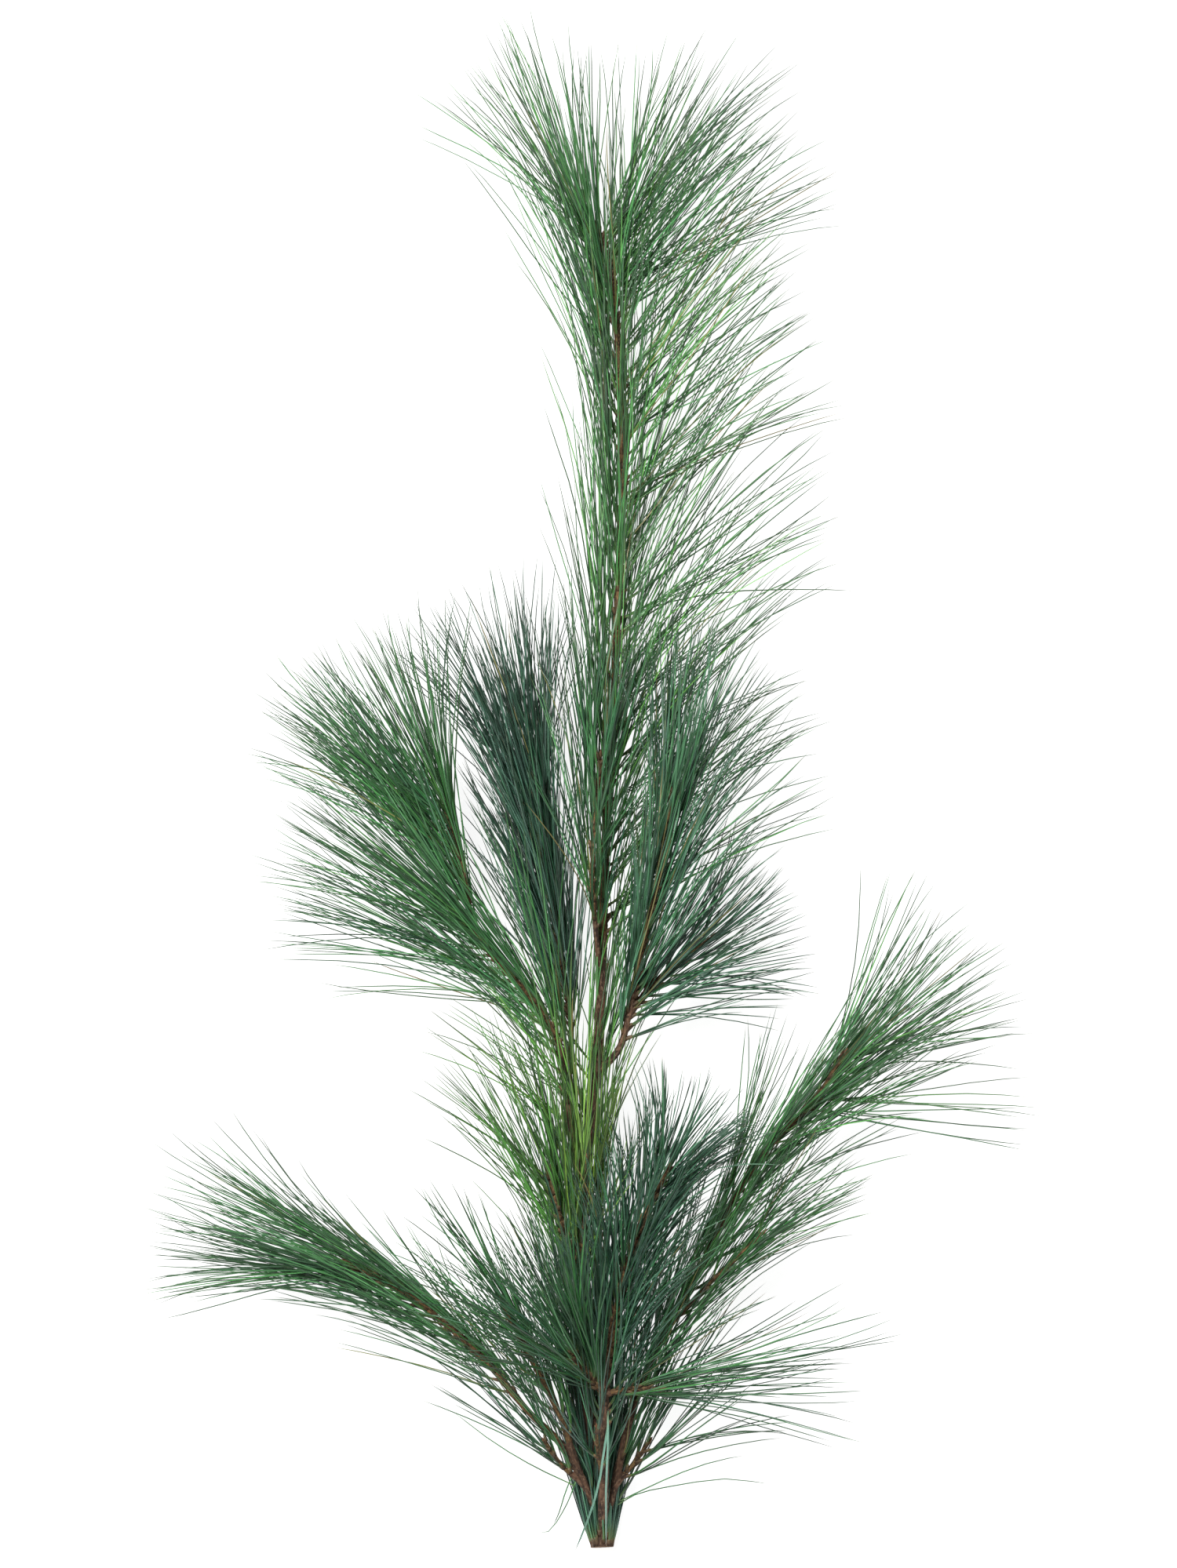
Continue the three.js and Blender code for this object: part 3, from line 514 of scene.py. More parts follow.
def lay_bundles(row, rng):
    """Where each bundle of five leaves its twig and how it opens. Bundles follow the golden
    angle round the twig, pushed towards its two sides by sin 2a and towards one of them by
    sin a. A bundle's opening is the mix of the openings to the right, to the left and above or
    below, weighted by the squares of its direction's parts, times a share that is drawn for the
    bundle; in the last fifth of a shoot it goes over to the fan of the tip. The lean turns the
    twig's heading about the vertical."""
    n = row["bundles"]
    order = np.arange(n)
    place = 1 - (1 - (order + 0.5) / n) ** row["crowd"]
    around = order * GOLDEN_ANGLE + rng.normal(0, ANGLE_SPREAD, n)
    swing = mix(*np.broadcast_to(row["swing"], 2), place)
    azimuth = around - row["flat"] / 2 * np.sin(2 * around) - swing * np.sin(around)
    stand = mix(row["leafy"], row["until"], place)
    centre, heading = point_and_heading(LINES[row["route"]], stand)
    turn = np.radians(mix(*row["lean"], place))
    x, y = heading[:, 0].copy(), heading[:, 1].copy()
    heading[:, 0] = x * np.cos(turn) - y * np.sin(turn)
    heading[:, 1] = x * np.sin(turn) + y * np.cos(turn)
    aside = np.cos(azimuth)
    to_right, to_left, deep = np.maximum(aside, 0) ** 2, np.maximum(-aside, 0) ** 2, np.sin(azimuth) ** 2
    steep = np.where(np.sin(azimuth) > 0, row["up"], row["down"])
    right, left = row["right"], row["left"]
    share = mix(row["inner"], WIDEST_SHARE, rng.uniform(0, 1, n) ** OUTER_SKEW)
    opening = to_right * mix(*right[:2], place) + to_left * mix(*left[:2], place)
    opening = (opening + deep * steep) * share
    curl = (to_right * right[2] + to_left * left[2] + deep * DEEP_CURL) * share
    if "fan" in row:
        fan_left, fan_right = row["fan"]
        sideways = np.abs(aside) ** FAN_POWER
        widest = mix(DEEP_FAN_SHARE * max(row["fan"]), np.where(aside > 0, fan_right, fan_left), sideways)
        fanned = widest * rng.uniform(row["hollow"], 1, n) ** OUTER_SKEW
        near_tip = np.clip((place - (1 - TIP_STRETCH)) / TIP_STRETCH, 0, 1)
        opening = mix(opening, fanned, near_tip)
        curl = curl * mix(1, FAN_CURL_SHARE, near_tip)
    uneven = row["uneven"]
    lengths = rng.normal(1, uneven, n).clip(1 - SHORTEST_SPREADS * uneven, LONGEST_SHARE)
    opening = np.maximum(opening + rng.normal(0, OPENING_SPREAD, n), LEAST_OPENING)
    curl = curl + rng.normal(0, CURL_SPREAD, n)
    shared = {key: np.full(n, row[key]) for key in ("waver", "emerging", "tone")}
    return dict(stand=stand, azimuth=azimuth, centre=centre, heading=heading, opening=opening, curl=curl,
                length=mix(*row["length"], place) * lengths, root=wood_radius(row["route"], stand), **shared)


def bundle_headings(bundles, distance):
    """The direction of each bundle at these distances from its root: heading of the twig turned
    outwards by the opening, plus what is left of the emerging angle, which dies away as
    exp(-distance / SETTLING_LENGTH), plus the curl times the share of the length to the power
    CURL_POWER."""
    side, rise = side_and_rise(bundles["heading"])
    azimuth = bundles["azimuth"][:, None]
    outward = np.cos(azimuth) * side + np.sin(azimuth) * rise
    opening = bundles["opening"][:, None]
    leaving = np.maximum(bundles["emerging"][:, None] - opening, 0) * np.exp(-distance / SETTLING_LENGTH)
    share = distance / bundles["length"][:, None]
    angle = np.radians(opening + leaving + bundles["curl"][:, None] * share**CURL_POWER)[..., None]
    return np.cos(angle) * bundles["heading"][:, None] + np.sin(angle) * outward[:, None], outward


def halfway(distance):
    """The middle of each step from one distance to the next."""
    return (distance[:, 1:] + distance[:, :-1]) / 2


def run_lines(root, aim, distance):
    """Lines from their roots, each the running sum of its steps along its aims."""
    steps = aim * np.diff(distance, axis=1)[..., None]
    return np.concatenate([root[:, None], root[:, None] + np.cumsum(steps, axis=1)], axis=1)


def needle_lines(bundles, rng):
    """The middle line of every needle. A needle leaves its bundle's line by its own splay, which
    grows as one minus exp(-distance / SPLAY_LENGTH) and in many bundles turns back towards the
    tips, and it bows and wavers a little. A line that would pass through the surface runs along
    it."""
    per = NEEDLES_IN_BUNDLE
    n = len(bundles["tone"]) * per
    whole = {key: np.repeat(value, per, axis=0) for key, value in bundles.items()}
    whole["length"] = whole["length"] * rng.normal(1, LENGTH_SPREAD, n)
    distance = NEEDLE_STOPS * whole["length"][:, None]
    middle = halfway(distance)
    heading, outward = bundle_headings(whole, middle)
    side, rise = side_and_rise(heading)
    round_bundle = (np.arange(n) % per * 2 * np.pi / per + rng.normal(0, ANGLE_SPREAD, n))[:, None]
    share = middle / whole["length"][:, None]
    gather = np.repeat(rng.uniform(*GATHER, n // per), per)[:, None]
    splay = np.radians(rng.normal(SPLAY, SPLAY_SPREAD, n))[:, None]
    splay = splay * (1 - np.exp(-middle / SPLAY_LENGTH)) * (1 - gather * share)
    bow = np.radians(BOW * rng.normal(0, 1, (2, n)).clip(-2, 2))[:, :, None] * share
    waver = np.radians(whole["waver"])[:, None]
    sway = splay + bow[0] + waver * np.sin(middle / WAVES[0] + rng.uniform(*ANY_TURN, (n, 1)))
    lift = bow[1] + waver * np.sin(middle / WAVES[1] + rng.uniform(*ANY_TURN, (n, 1)))
    a, b = np.cos(round_bundle), np.sin(round_bundle)
    aim = unit(heading + (sway * a - lift * b)[..., None] * side + (sway * b + lift * a)[..., None] * rise)
    root = whole["centre"] + outward * (whole["root"][:, None] - ROOT_DEPTH)
    lines = run_lines(root + ROOT_RING * (a * side[:, 0] + b * rise[:, 0]), aim, distance)
    lines[..., 2] = np.maximum(lines[..., 2], rng.uniform(*LYING_HEIGHTS, n)[:, None])
    return lines, outward


def needle_piece(name, bundles, material, rng):
    """All needles of one shoot as one mesh of three-sided tubes, twisted a little, which taper
    from their middle and run out to a point over their last eighth."""
    lines, reference = needle_lines(bundles, rng)
    own = len(lines)
    strays = STRAYS.get(name, NO_STRAYS)
    for stray in strays["lines"]:
        point, _ = point_and_heading(smooth_route(stray), NEEDLE_STOPS)
        lines = np.concatenate([lines, point[None]])
        reference = np.concatenate([reference, [STRAY_REFERENCE]])
    n = len(lines)
    silver = rng.uniform(*SILVER, n)
    silver[own:] = strays["silver"]
    girth = rng.normal(1, GIRTH_SPREAD, n)
    girth[own:] = strays["girth"]
    radii = (NEEDLE_RADIUS * girth[:, None] * NEEDLE_TAPER)[..., None]
    turn = rng.uniform(*ANY_TURN, n)[:, None] + rng.normal(0, TWIST, n)[:, None] * NEEDLE_STOPS
    piece = tube_piece("foliage_" + name, material, 3, NEEDLE_STOPS, lines, radii, turn, reference)
    tone = bundles["tone"] + rng.normal(0, BUNDLE_TONE_SPREAD, len(bundles["tone"]))
    tone = np.append(np.repeat(tone, NEEDLES_IN_BUNDLE), np.full(n - own, tone[0]))
    tone = tone + rng.normal(0, NEEDLE_TONE_SPREAD, n)
    chance = rng.uniform(0, 1, n)
    chance[own:] = STRAY_CHANCE
    note_each(piece, "tone", tone.clip(0, 1))
    note_each(piece, "silver", silver)
    note_each(piece, "chance", chance)
    mark_edges(piece, n)
    lay_uv(piece, n)
    return piece


def mark_edges(piece, n):
    """Sharpens the three long edges of every needle: those between points that lie three apart,
    and those that end in the tip."""
    mesh = piece.data
    points_each = len(mesh.vertices) // n
    ends = np.empty(len(mesh.edges) * 2, np.int32)
    mesh.edges.foreach_get("vertices", ends)
    ends = np.sort(ends.reshape(-1, 2) % points_each, axis=1)
    sharp = (ends[:, 1] - ends[:, 0] == 3) | (ends[:, 1] == points_each - 1)
    attribute = mesh.attributes.new("sharp_edge", "BOOLEAN", "EDGE")
    attribute.data.foreach_set("value", sharp)


def lay_uv(piece, n):
    """A map for each needle, both ways a third of the size: across, the number of the side plus
    the share across it; along, the share of the length."""
    k, stops = np.arange(3), NEEDLE_STOPS
    low, high = stops[:-2, None], stops[1:-1, None]
    at = lambda across, along: np.stack(np.broadcast_arrays(across, along), -1)
    quads = np.stack([at(k, low), at(k + 1, low), at(k + 1, high), at(k, high)], -2)
    tips = np.stack([at(k, stops[-2]), at(k + 1, stops[-2]), at(k + 0.5, stops[-1])], -2)
    foot = np.array([[0, 0], [1, 0], [2, 0]], float)
    parts = [np.tile(part.ravel(), n) for part in (quads, tips, foot)]
    layer = piece.data.uv_layers.new(name="UVMap")
    layer.data.foreach_set("uv", (np.concatenate(parts) / 3).astype(np.float32))


def sheath_piece(name, bundles, rng):
    """The papery sheaths at the roots of the bundles: short six-sided tubes along each bundle's
    first millimetres, wide at the foot and drawn in at the mouth."""
    n = len(bundles["tone"])
    distance = SHEATH_STOPS * rng.uniform(*SHEATH_LENGTHS, n)[:, None]
    heading, outward = bundle_headings(bundles, halfway(distance))
    root = bundles["centre"] + outward * (bundles["root"][:, None] - SHEATH_DEPTH)
    lines = run_lines(root, heading, distance)
    lines[..., 2] = np.maximum(lines[..., 2], SHEATH_LEVEL)
    radii = (SHEATH_RADII * rng.normal(1, SHEATH_SPREAD, n)[:, None])[..., None]
    turn = rng.uniform(*ANY_TURN, n)[:, None] + 0 * distance
    piece = tube_piece("sheaths_" + name, SHEATH_FINISH, SHEATH_SIDES, SHEATH_STOPS, lines, radii, turn,
                       outward)
    note_each(piece, "chance", rng.uniform(0, 1, n))
    return piece


# Wood


def flare(distance):
    """How much a stem swells towards its foot: by FLARE times exp(-distance / FLARE_LENGTH)."""
    return 1 + FLARE * np.exp(-distance / FLARE_LENGTH)


def wood_radius(route, share):
    """The radius of a stem at a share of its route: it narrows evenly from its flared foot to
    the first needles, and from there to the tip."""
    shoot = next(shoot for shoot in SHOOTS.values() if shoot["route"] == route)
    foot, leafy = shoot["wood"]
    bare = shoot["bare"]
    woody = mix(foot, leafy, share / bare) * flare(share * length_along(LINES[route])[-1])
    return np.where(share < bare, woody, mix(leafy, tip_radius(shoot), (share - bare) / (1 - bare)))


def tip_radius(shoot):
    """The radius at a twig's tip: the usual one, or four fifths of where its needles start."""
    return min(TWIG_TIP_RADIUS, 0.8 * shoot["wood"][1])


def twig_piece(name, shoot, bundles):
    """The leafy twig: rings along its route with a low cushion under each bundle, which runs
    down the twig as a ridge, drawn in at its tip."""
    line = LINES[shoot["route"]]
    start, whole = shoot["bare"], length_along(line)[-1]
    size = whole * (1 - start)
    share = np.linspace(0, 1, int(size / TWIG_STEP) + 2)
    centre, heading = point_and_heading(line, mix(start - TWIG_OVERLAP / whole, 1, share))
    t = even_turns(WOOD_SIDES)
    down = share[:, None, None] * size - (bundles["stand"] - start) * whole
    apart = np.angle(np.exp(1j * (t[None, :, None] - bundles["azimuth"]))) * shoot["wood"][1]
    fall = np.where(down < 0, np.exp(down / RIDGE_LENGTH), np.exp(-((down / RIDGE_TOP) ** 2)))
    ridge = (np.exp(-((apart / RIDGE_WIDTH) ** 2)) * fall).max(-1)
    radius = mix(shoot["wood"][1], tip_radius(shoot), share)[:, None] * TWIG_SHARE + RIDGE_HEIGHT * ridge
    radius = radius * (1 - ramp(share * size, size - TWIG_ROUNDING, size) * TWIG_DRAWN_IN)[:, None]
    skin = ring_points(centre, *side_and_rise(heading), radius, t)
    end = centre[-1:] + heading[-1:] * TWIG_POINT
    piece = put_mesh("twig_" + name, *closed_tube(skin, end), TWIG_FINISH)
    straight = np.stack([radius * np.cos(t), radius * np.sin(t), share[:, None] * size + 0 * t], -1)
    straight = straight.reshape(-1, 3)
    note(piece, "straight", np.vstack([straight, straight[-1:]]) * MM)
    return piece


def bud_piece(name, shoot, rng):
    """The resting buds at a shoot's tip: a large one and some small ones round it. A bud is a
    spindle, widest at a third of its length, whose scales stand out as a lattice of steps that
    winds round it."""
    tip, heading = point_and_heading(LINES[shoot["route"]], np.array([1.0]))
    side, rise = side_and_rise(heading)
    small = BUDS - 1
    lean = np.radians(np.append(LARGE_BUD_LEAN, rng.uniform(*BUD_LEAN, small)))[:, None]
    spin = (rng.uniform(*ANY_TURN) + np.arange(BUDS) * 2 * np.pi / small)[:, None]
    axis = np.cos(lean) * heading + np.sin(lean) * (np.cos(spin) * side + np.sin(spin) * rise)
    size = np.append(rng.uniform(*LARGE_BUD), rng.uniform(*SMALL_BUD, small))[:, None] * shoot["bud"]
    girth = size * np.append(LARGE_GIRTH, np.full(small, SMALL_GIRTH))[:, None]
    stops = BUD_STOPS
    lines = tip[:, None] - heading[:, None] * BUD_DEPTH + axis[:, None] * (stops * size)[..., None]
    t = even_turns(BUD_SIDES)
    winding = stops[:, None] * SCALE_ROWS + t * SCALE_WINDINGS / (2 * np.pi)
    scales = 1 - SCALE_STEP * (winding % 1) * (0.6 + 0.4 * np.cos(5 * t + 9 * stops[:, None]))
    spindle = np.sin(np.pi * stops.clip(0.02, 1) ** 0.62) ** 0.8
    radii = girth[:, :, None] * (spindle[:, None] * scales)
    reference = np.tile([0.21, 0.13, 0.97], (BUDS, 1))
    turn = 0 * stops * size
    piece = tube_piece("buds_" + name, BUD_FINISH, BUD_SIDES, stops, lines, radii, turn, reference)
    note_each(piece, "chance", rng.uniform(0, 1, BUDS))
    return piece


def bare_stretch(shoot, step, more):
    """Places about a step apart along the bare part of a shoot's route: their run from its foot,
    centres, headings and radii without the flare."""
    line = LINES[shoot["route"]]
    size = length_along(line)[-1] * shoot["bare"]
    share = np.linspace(0, 1, int(size / step) + more)
    return share * size, *point_and_heading(line, share * shoot["bare"]), mix(*shoot["wood"], share)


def bare_stem_skin():
    """Closed tubes along the bare part of every route, each with its foot flared."""
    tubes, first = [], 0
    for shoot in SHOOTS.values():
        run, centre, heading, radius = bare_stretch(shoot, STEM_STEP, 3)
        radius = (radius * flare(run))[:, None]
        skin = ring_points(centre, *side_and_rise(heading), radius, even_turns(WOOD_SIDES))
        vertices, quads, triangles = closed_tube(skin, centre[-1:] + heading[-1:] * STEM_POINT)
        tubes.append((vertices, quads + first, triangles + first))
        first += len(vertices)
    return [np.concatenate(arrays) for arrays in zip(*tubes)]


def nearest_on_stems(points):
    """For each point, the closest sample of the bare stems' middle lines: its place, its heading,
    the run of wood behind it, counted on from stem to stem, and the stem's radius. It is the one
    with the least squared distance minus twice its radius. Points go in blocks, to save memory."""
    stretches = [bare_stretch(shoot, SAMPLE_STEP, 2) for shoot in SHOOTS.values()]
    runs, places, headings, radii = (np.concatenate(arrays) for arrays in zip(*stretches))
    number = np.repeat(np.arange(len(stretches)), [len(stretch[0]) for stretch in stretches])
    runs = runs + RUN_APART * number
    blocks = [points[k : k + BLOCK] for k in range(0, len(points), BLOCK)]
    square = (places**2).sum(1)
    nearest = [np.argmin(square - 2 * block @ places.T - radii * 2, axis=1) for block in blocks]
    nearest = np.concatenate(nearest)
    return places[nearest], headings[nearest], runs[nearest], radii[nearest]


def stem_piece():
    """The bare wood as one skin: the flared tubes are fused by a fine remesh and eased, then
    every point moves out by a relief in straightened coordinates (across, over, run): long
    furrows, plates between them, low scale scars and the rings left by old buds. The relief
    grows with the stem's radius and leaves the cut end flat."""
    piece = put_mesh("bare_stem", *bare_stem_skin(), BARK_FINISH)
    fuse = piece.modifiers.new("fuse", "REMESH")
    fuse.mode = "VOXEL"
    fuse.voxel_size = FUSED_STEP * MM
    ease = piece.modifiers.new("ease", "SMOOTH")
    ease.factor, ease.iterations = 0.5, 4
    evaluated = piece.evaluated_get(bpy.context.evaluated_depsgraph_get())
    fused = bpy.data.meshes.new_from_object(evaluated)
    piece.modifiers.clear()
    piece.data = fused
    points = np.empty(len(fused.vertices) * 3, np.float32)
    fused.vertices.foreach_get("co", points)
    points = points.reshape(-1, 3).astype(float) / MM
    centre, heading, run, radius = nearest_on_stems(points)
    side, rise = side_and_rise(heading)
    out = points - centre
    around = np.arctan2((out * rise).sum(1), (out * side).sum(1))
    flat = np.stack([radius * np.cos(around), radius * np.sin(around), run], 1)
    furrow = layered_noise(flat * FURROW_GRAIN, 3)
    plates = layered_noise(flat * PLATE_GRAIN, 11)
    scars = np.maximum(np.cos(around * 5 + run * 0.9) * np.cos(around * 3 - run * 1.4) - 0.35, 0)
    rings = np.exp(-((run % RING_SPACING - RING_PLACE) / RING_WIDTH) ** 2) * np.sin(run * 4.2)
    relief = FURROW_DEPTH * furrow + PLATE_DEPTH * plates + SCAR_HEIGHT * scars + RING_HEIGHT * rings
    relief = relief * radius / RELIEF_RADIUS
    push = unit(out - (out * heading).sum(1)[:, None] * heading) * relief[:, None]
    points = points + push * ramp(points[:, 1], *BARK_BEGINS)[:, None]
    points[:, 2] = np.maximum(points[:, 2], 0)
    fused.vertices.foreach_set("co", (points * MM).astype(np.float32).ravel())
    fused.shade_smooth()
    fused.update()
    note(piece, "straight", flat * MM)
    return piece


def cut_face_piece():
    """The cut end: a disc of rings round the stem's middle line, just proud of the wood, with
    fine steps from ring to ring and strokes left by the blade."""
    centre, heading = point_and_heading(LINES["main"], np.array([0.0]))
    side, rise = side_and_rise(heading)
    t = even_turns(CUT_SIDES)
    r = np.linspace(CUT_SHARE * wood_radius("main", 0.0), CUT_MIDDLE, CUT_RINGS)[:, None]
    across = r * np.cos(t)
    over = np.maximum(r * np.sin(t), CUT_LEVEL - centre[0, 2])
    proud = CUT_PROUD + 0.05 * np.sin(r * 7) + 0.03 * np.sin(across * 5 + over)
    proud[0] = -RIM_SUNK
    skin = centre + across[..., None] * side + over[..., None] * rise - proud[..., None] * heading
    vertices, quads, triangles = closed_tube(skin, centre - heading * PITH_PROUD)
    piece = put_mesh("cut_face", vertices, quads[:, ::-1], triangles[:, ::-1], CUT_FINISH)
    flat = np.stack([across, over, 0 * over], -1).reshape(-1, 3)
    note(piece, "straight", np.vstack([flat, [[0, 0, 0]]]) * MM)
    return piece


# Finishes


class Net:
    """A node tree being wired. Each call adds nodes and gives back what the last one puts out."""

    def __init__(self, tree):
        self.tree = tree

    def add(self, kind, inputs=None, **settings):
        node = self.tree.nodes.new(kind)
        for name, value in settings.items():
            setattr(node, name, value)
        for key, value in (inputs or {}).items():
            if isinstance(value, bpy.types.NodeSocket):
                self.tree.links.new(value, node.inputs[key])
            else:
                node.inputs[key].default_value = value
        return node

    def math(self, operation, a, b=0.0):
        return self.add("ShaderNodeMath", {0: a, 1: b}, operation=operation).outputs[0]

    def times(self, a, b):
        return self.math("MULTIPLY", a, b)

    def plus(self, a, b):
        return self.math("ADD", a, b)

    def mix(self, share, a, b, blend="MIX"):
        kind = dict(data_type="RGBA", blend_type=blend, clamp_factor=True)
        return self.add("ShaderNodeMix", {0: share, 6: a, 7: b}, **kind).outputs[2]

    def shade(self, colour, light):
        grey = self.add("ShaderNodeCombineColor", {0: light, 1: light, 2: light}).outputs[0]
        return self.mix(1.0, colour, grey, "MULTIPLY")

    def ease(self, value, low, high, to_low=0.0, to_high=1.0):
        inputs = {"Value": value, "From Min": low, "From Max": high, "To Min": to_low, "To Max": to_high}
        return self.add("ShaderNodeMapRange", inputs, interpolation_type="SMOOTHSTEP").outputs[0]

    def noise(self, vector, scale, detail):
        inputs = {"Vector": vector, "Scale": scale, "Detail": detail}
        return self.add("ShaderNodeTexNoise", inputs).outputs["Fac"]

    def stretch(self, vector, along):
        return self.add("ShaderNodeMapping", {"Vector": vector, "Scale": (1.0, 1.0, along)}).outputs[0]

    def attribute(self, name, output="Fac"):
        return self.add("ShaderNodeAttribute", attribute_name=name).outputs[output]

    def place(self):
        return self.add("ShaderNodeTexCoord").outputs["Object"]

    def put_out(self, colour, roughness, height):
        ends = self.tree.nodes.new("NodeGroupOutput").inputs
        for title, value in (("Colour", colour), ("Roughness", roughness), ("Height", height)):
            self.tree.links.new(value, ends[title])
        return self.tree


def group_of(name, colours, values=()):
    """An empty node group that is given these colours and values, and puts out a colour, a
    roughness and a height: its net, and what it is given."""
    tree = bpy.data.node_groups.new(name, "ShaderNodeTree")
    sockets = (("INPUT", "Color", colours), ("INPUT", "Float", values),
               ("OUTPUT", "Color", ["Colour"]), ("OUTPUT", "Float", ["Roughness", "Height"]))
    for way, kind, titles in sockets:
        for title in titles:
            tree.interface.new_socket(name=title, in_out=way, socket_type="NodeSocket" + kind)
    return Net(tree), tree.nodes.new("NodeGroupInput").outputs


def needle_group():
    """Colour of a living needle: its tone between three greens, a pale foot, a tan tip, rows of pale
    dots on its two inner sides, made brighter as a painted highlight, slow mottling, and a few
    needles gone yellow."""
    net, given = group_of("living needle", ["Deep", "Middle", "Bright", "Bloom And Highlight"], ["Bloom And Highlight Amount"])
    tone, chance, along, silver = (net.attribute(name) for name in ("tone", "chance", "along", "silver"))
    place = net.place()
    uv = net.add("ShaderNodeSeparateXYZ", {0: net.add("ShaderNodeUVMap", uv_map="UVMap").outputs[0]})
    across = net.times(uv.outputs[0], 3.0)
    share = net.math("FRACT", across)
    colour = net.mix(net.ease(tone, 0.0, 0.5), given["Deep"], given["Middle"])
    colour = net.mix(net.ease(tone, 0.5, 1.0), colour, given["Bright"])
    mottle = net.times(net.noise(place, 90.0, 2.0), 0.5)
    light = net.plus(net.times(net.math("POWER", chance, 2.0), 2.1), mottle)
    colour = net.shade(colour, net.plus(light, 0.14))
    rows = net.math("ABSOLUTE", net.math("SINE", net.times(share, 9.42)))
    dots = net.noise(place, 2600.0, 1.0)
    # bloom on the two inner sides, and on all three sides where silver is above about two, which paints a
    # highlight over the stray needles at the front foot
    inner = net.math("MAXIMUM", net.ease(across, 0.99, 1.01), net.ease(silver, 1.9, 2.2))
    bloom_and_highlight = net.times(net.times(rows, inner), net.ease(dots, 0.35, 0.6, 0.55, 1.0))
    own = net.times(given["Bloom And Highlight Amount"], silver)
    # mixes in the pale bloom colour: real stomatal rows, made brighter as a painted highlight
    colour = net.mix(net.times(bloom_and_highlight, own), colour, given["Bloom And Highlight"])
    foot = net.times(net.ease(along, 0.0, 0.14, 1.0, 0.0), 0.45)
    colour = net.mix(foot, colour, PALE_FOOT)
    colour = net.mix(net.ease(along, 0.45, 0.95, 0.0, 0.4), colour, DEEP_END)
    tip = net.times(net.ease(along, 0.93, 1.0), net.ease(chance, 0.2, 0.9, 0.3, 0.95))
    colour = net.mix(tip, colour, TAN_TIP)
    spent = net.times(net.ease(net.math("FRACT", net.times(chance, 37.7)), 0.985, 0.99), 0.6)
    colour = net.mix(spent, colour, SPENT_NEEDLE)
    crown = net.times(net.math("SINE", net.times(share, 3.14)), 0.5)
    return net.put_out(colour, net.ease(bloom_and_highlight, 0.0, 1.0, 0.36, 0.55), crown)


def bark_group():
    """Colour of young bark in straightened coordinates: furrows stretched along the stem, plates
    between them, a paler skin that flakes, and small pale pores."""
    net, given = group_of("young bark", ["Furrow", "Plate", "Skin"], ["Skin Amount", "Size"])
    straight = net.attribute("straight", "Vector")
    size = given["Size"]
    furrow = net.noise(net.stretch(straight, 0.18), size, 6.0)
    plate = net.noise(net.stretch(straight, 0.45), net.times(size, 2.2), 4.0)
    grain = net.noise(straight, net.times(size, 9.0), 3.0)
    spots = {"Vector": net.stretch(straight, 0.6), "Scale": net.times(size, 1.6)}
    pores = net.add("ShaderNodeTexVoronoi", spots).outputs["Distance"]
    ridge = net.ease(net.plus(furrow, net.times(plate, 0.5)), 0.55, 0.95)
    colour = net.mix(ridge, given["Furrow"], given["Plate"])
    skin = net.times(net.ease(plate, 0.5, 0.66), given["Skin Amount"])
    colour = net.mix(skin, colour, given["Skin"])
    colour = net.mix(net.ease(pores, 0.05, 0.16, 0.5, 0.0), colour, PALE_PORE)
    colour = net.shade(colour, net.ease(grain, 0.2, 0.8, 0.72, 1.25))
    height = net.plus(net.times(ridge, 0.6), net.times(grain, 0.3))
    height = net.plus(height, net.times(net.ease(pores, 0.02, 0.2, 1.0, 0.0), 0.3))
    return net.put_out(colour, net.ease(ridge, 0.0, 1.0, 0.92, 0.74), height)


def scale_group():
    """Colour of papery scales and sheaths: brown at the foot, paler at the mouth, with fine dark
    flecks, each one lighter or darker by chance."""
    net, given = group_of("papery scale", ["Foot", "Mouth", "Fleck"])
    fleck = net.noise(net.place(), 1400.0, 4.0)
    colour = net.mix(net.ease(net.attribute("along"), 0.1, 0.95), given["Foot"], given["Mouth"])
    colour = net.mix(net.ease(fleck, 0.45, 0.7, 0.0, 0.7), colour, given["Fleck"])
    colour = net.shade(colour, net.plus(net.times(net.attribute("chance"), 0.5), 0.75))
    return net.put_out(colour, net.ease(fleck, 0.3, 0.7, 0.5, 0.8), fleck)


def cut_group():
    """Colour of fresh cut wood: pale, with a darker line for each year, dark pith in the middle
    and a brown rim of bark."""
    net, given = group_of("cut wood", ["Early", "Late"])
    straight = net.attribute("straight", "Vector")
    radius = net.add("ShaderNodeVectorMath", {0: straight}, operation="LENGTH").outputs["Value"]
    waver = net.times(net.noise(straight, 500.0, 3.0), 0.0006)
    rings = net.math("SINE", net.times(net.plus(radius, waver), 6500.0))
    colour = net.mix(net.ease(rings, 0.2, 1.0), given["Early"], given["Late"])
    colour = net.mix(net.ease(radius, *PITH_EDGE, 1.0, 0.0), colour, DARK_PITH)
    colour = net.mix(net.ease(radius, *RIM_EDGE), colour, BROWN_RIM)
    return net.put_out(colour, net.ease(rings, 0.0, 1.0, 0.6, 0.8), net.plus(rings, waver))


def finish_of(name, tree, values, bump, distance):
    """A material whose colour, roughness and relief come from a group with its own values."""
    material = bpy.data.materials.new(name)
    material.use_nodes = True
    net = Net(material.node_tree)
    shader = material.node_tree.nodes["Principled BSDF"]
    group = net.add("ShaderNodeGroup", node_tree=tree)
    for title, value in values.items():
        group.inputs[title].default_value = value
    height = {"Height": group.outputs["Height"], "Strength": bump, "Distance": distance}
    relief = net.add("ShaderNodeBump", height)
    net.tree.links.new(group.outputs["Colour"], shader.inputs["Base Color"])
    net.tree.links.new(group.outputs["Roughness"], shader.inputs["Roughness"])
    net.tree.links.new(relief.outputs[0], shader.inputs["Normal"])
    return material


LIVING_NEEDLE = needle_group()
YOUNG_BARK = bark_group()
PAPERY_SCALE = scale_group()
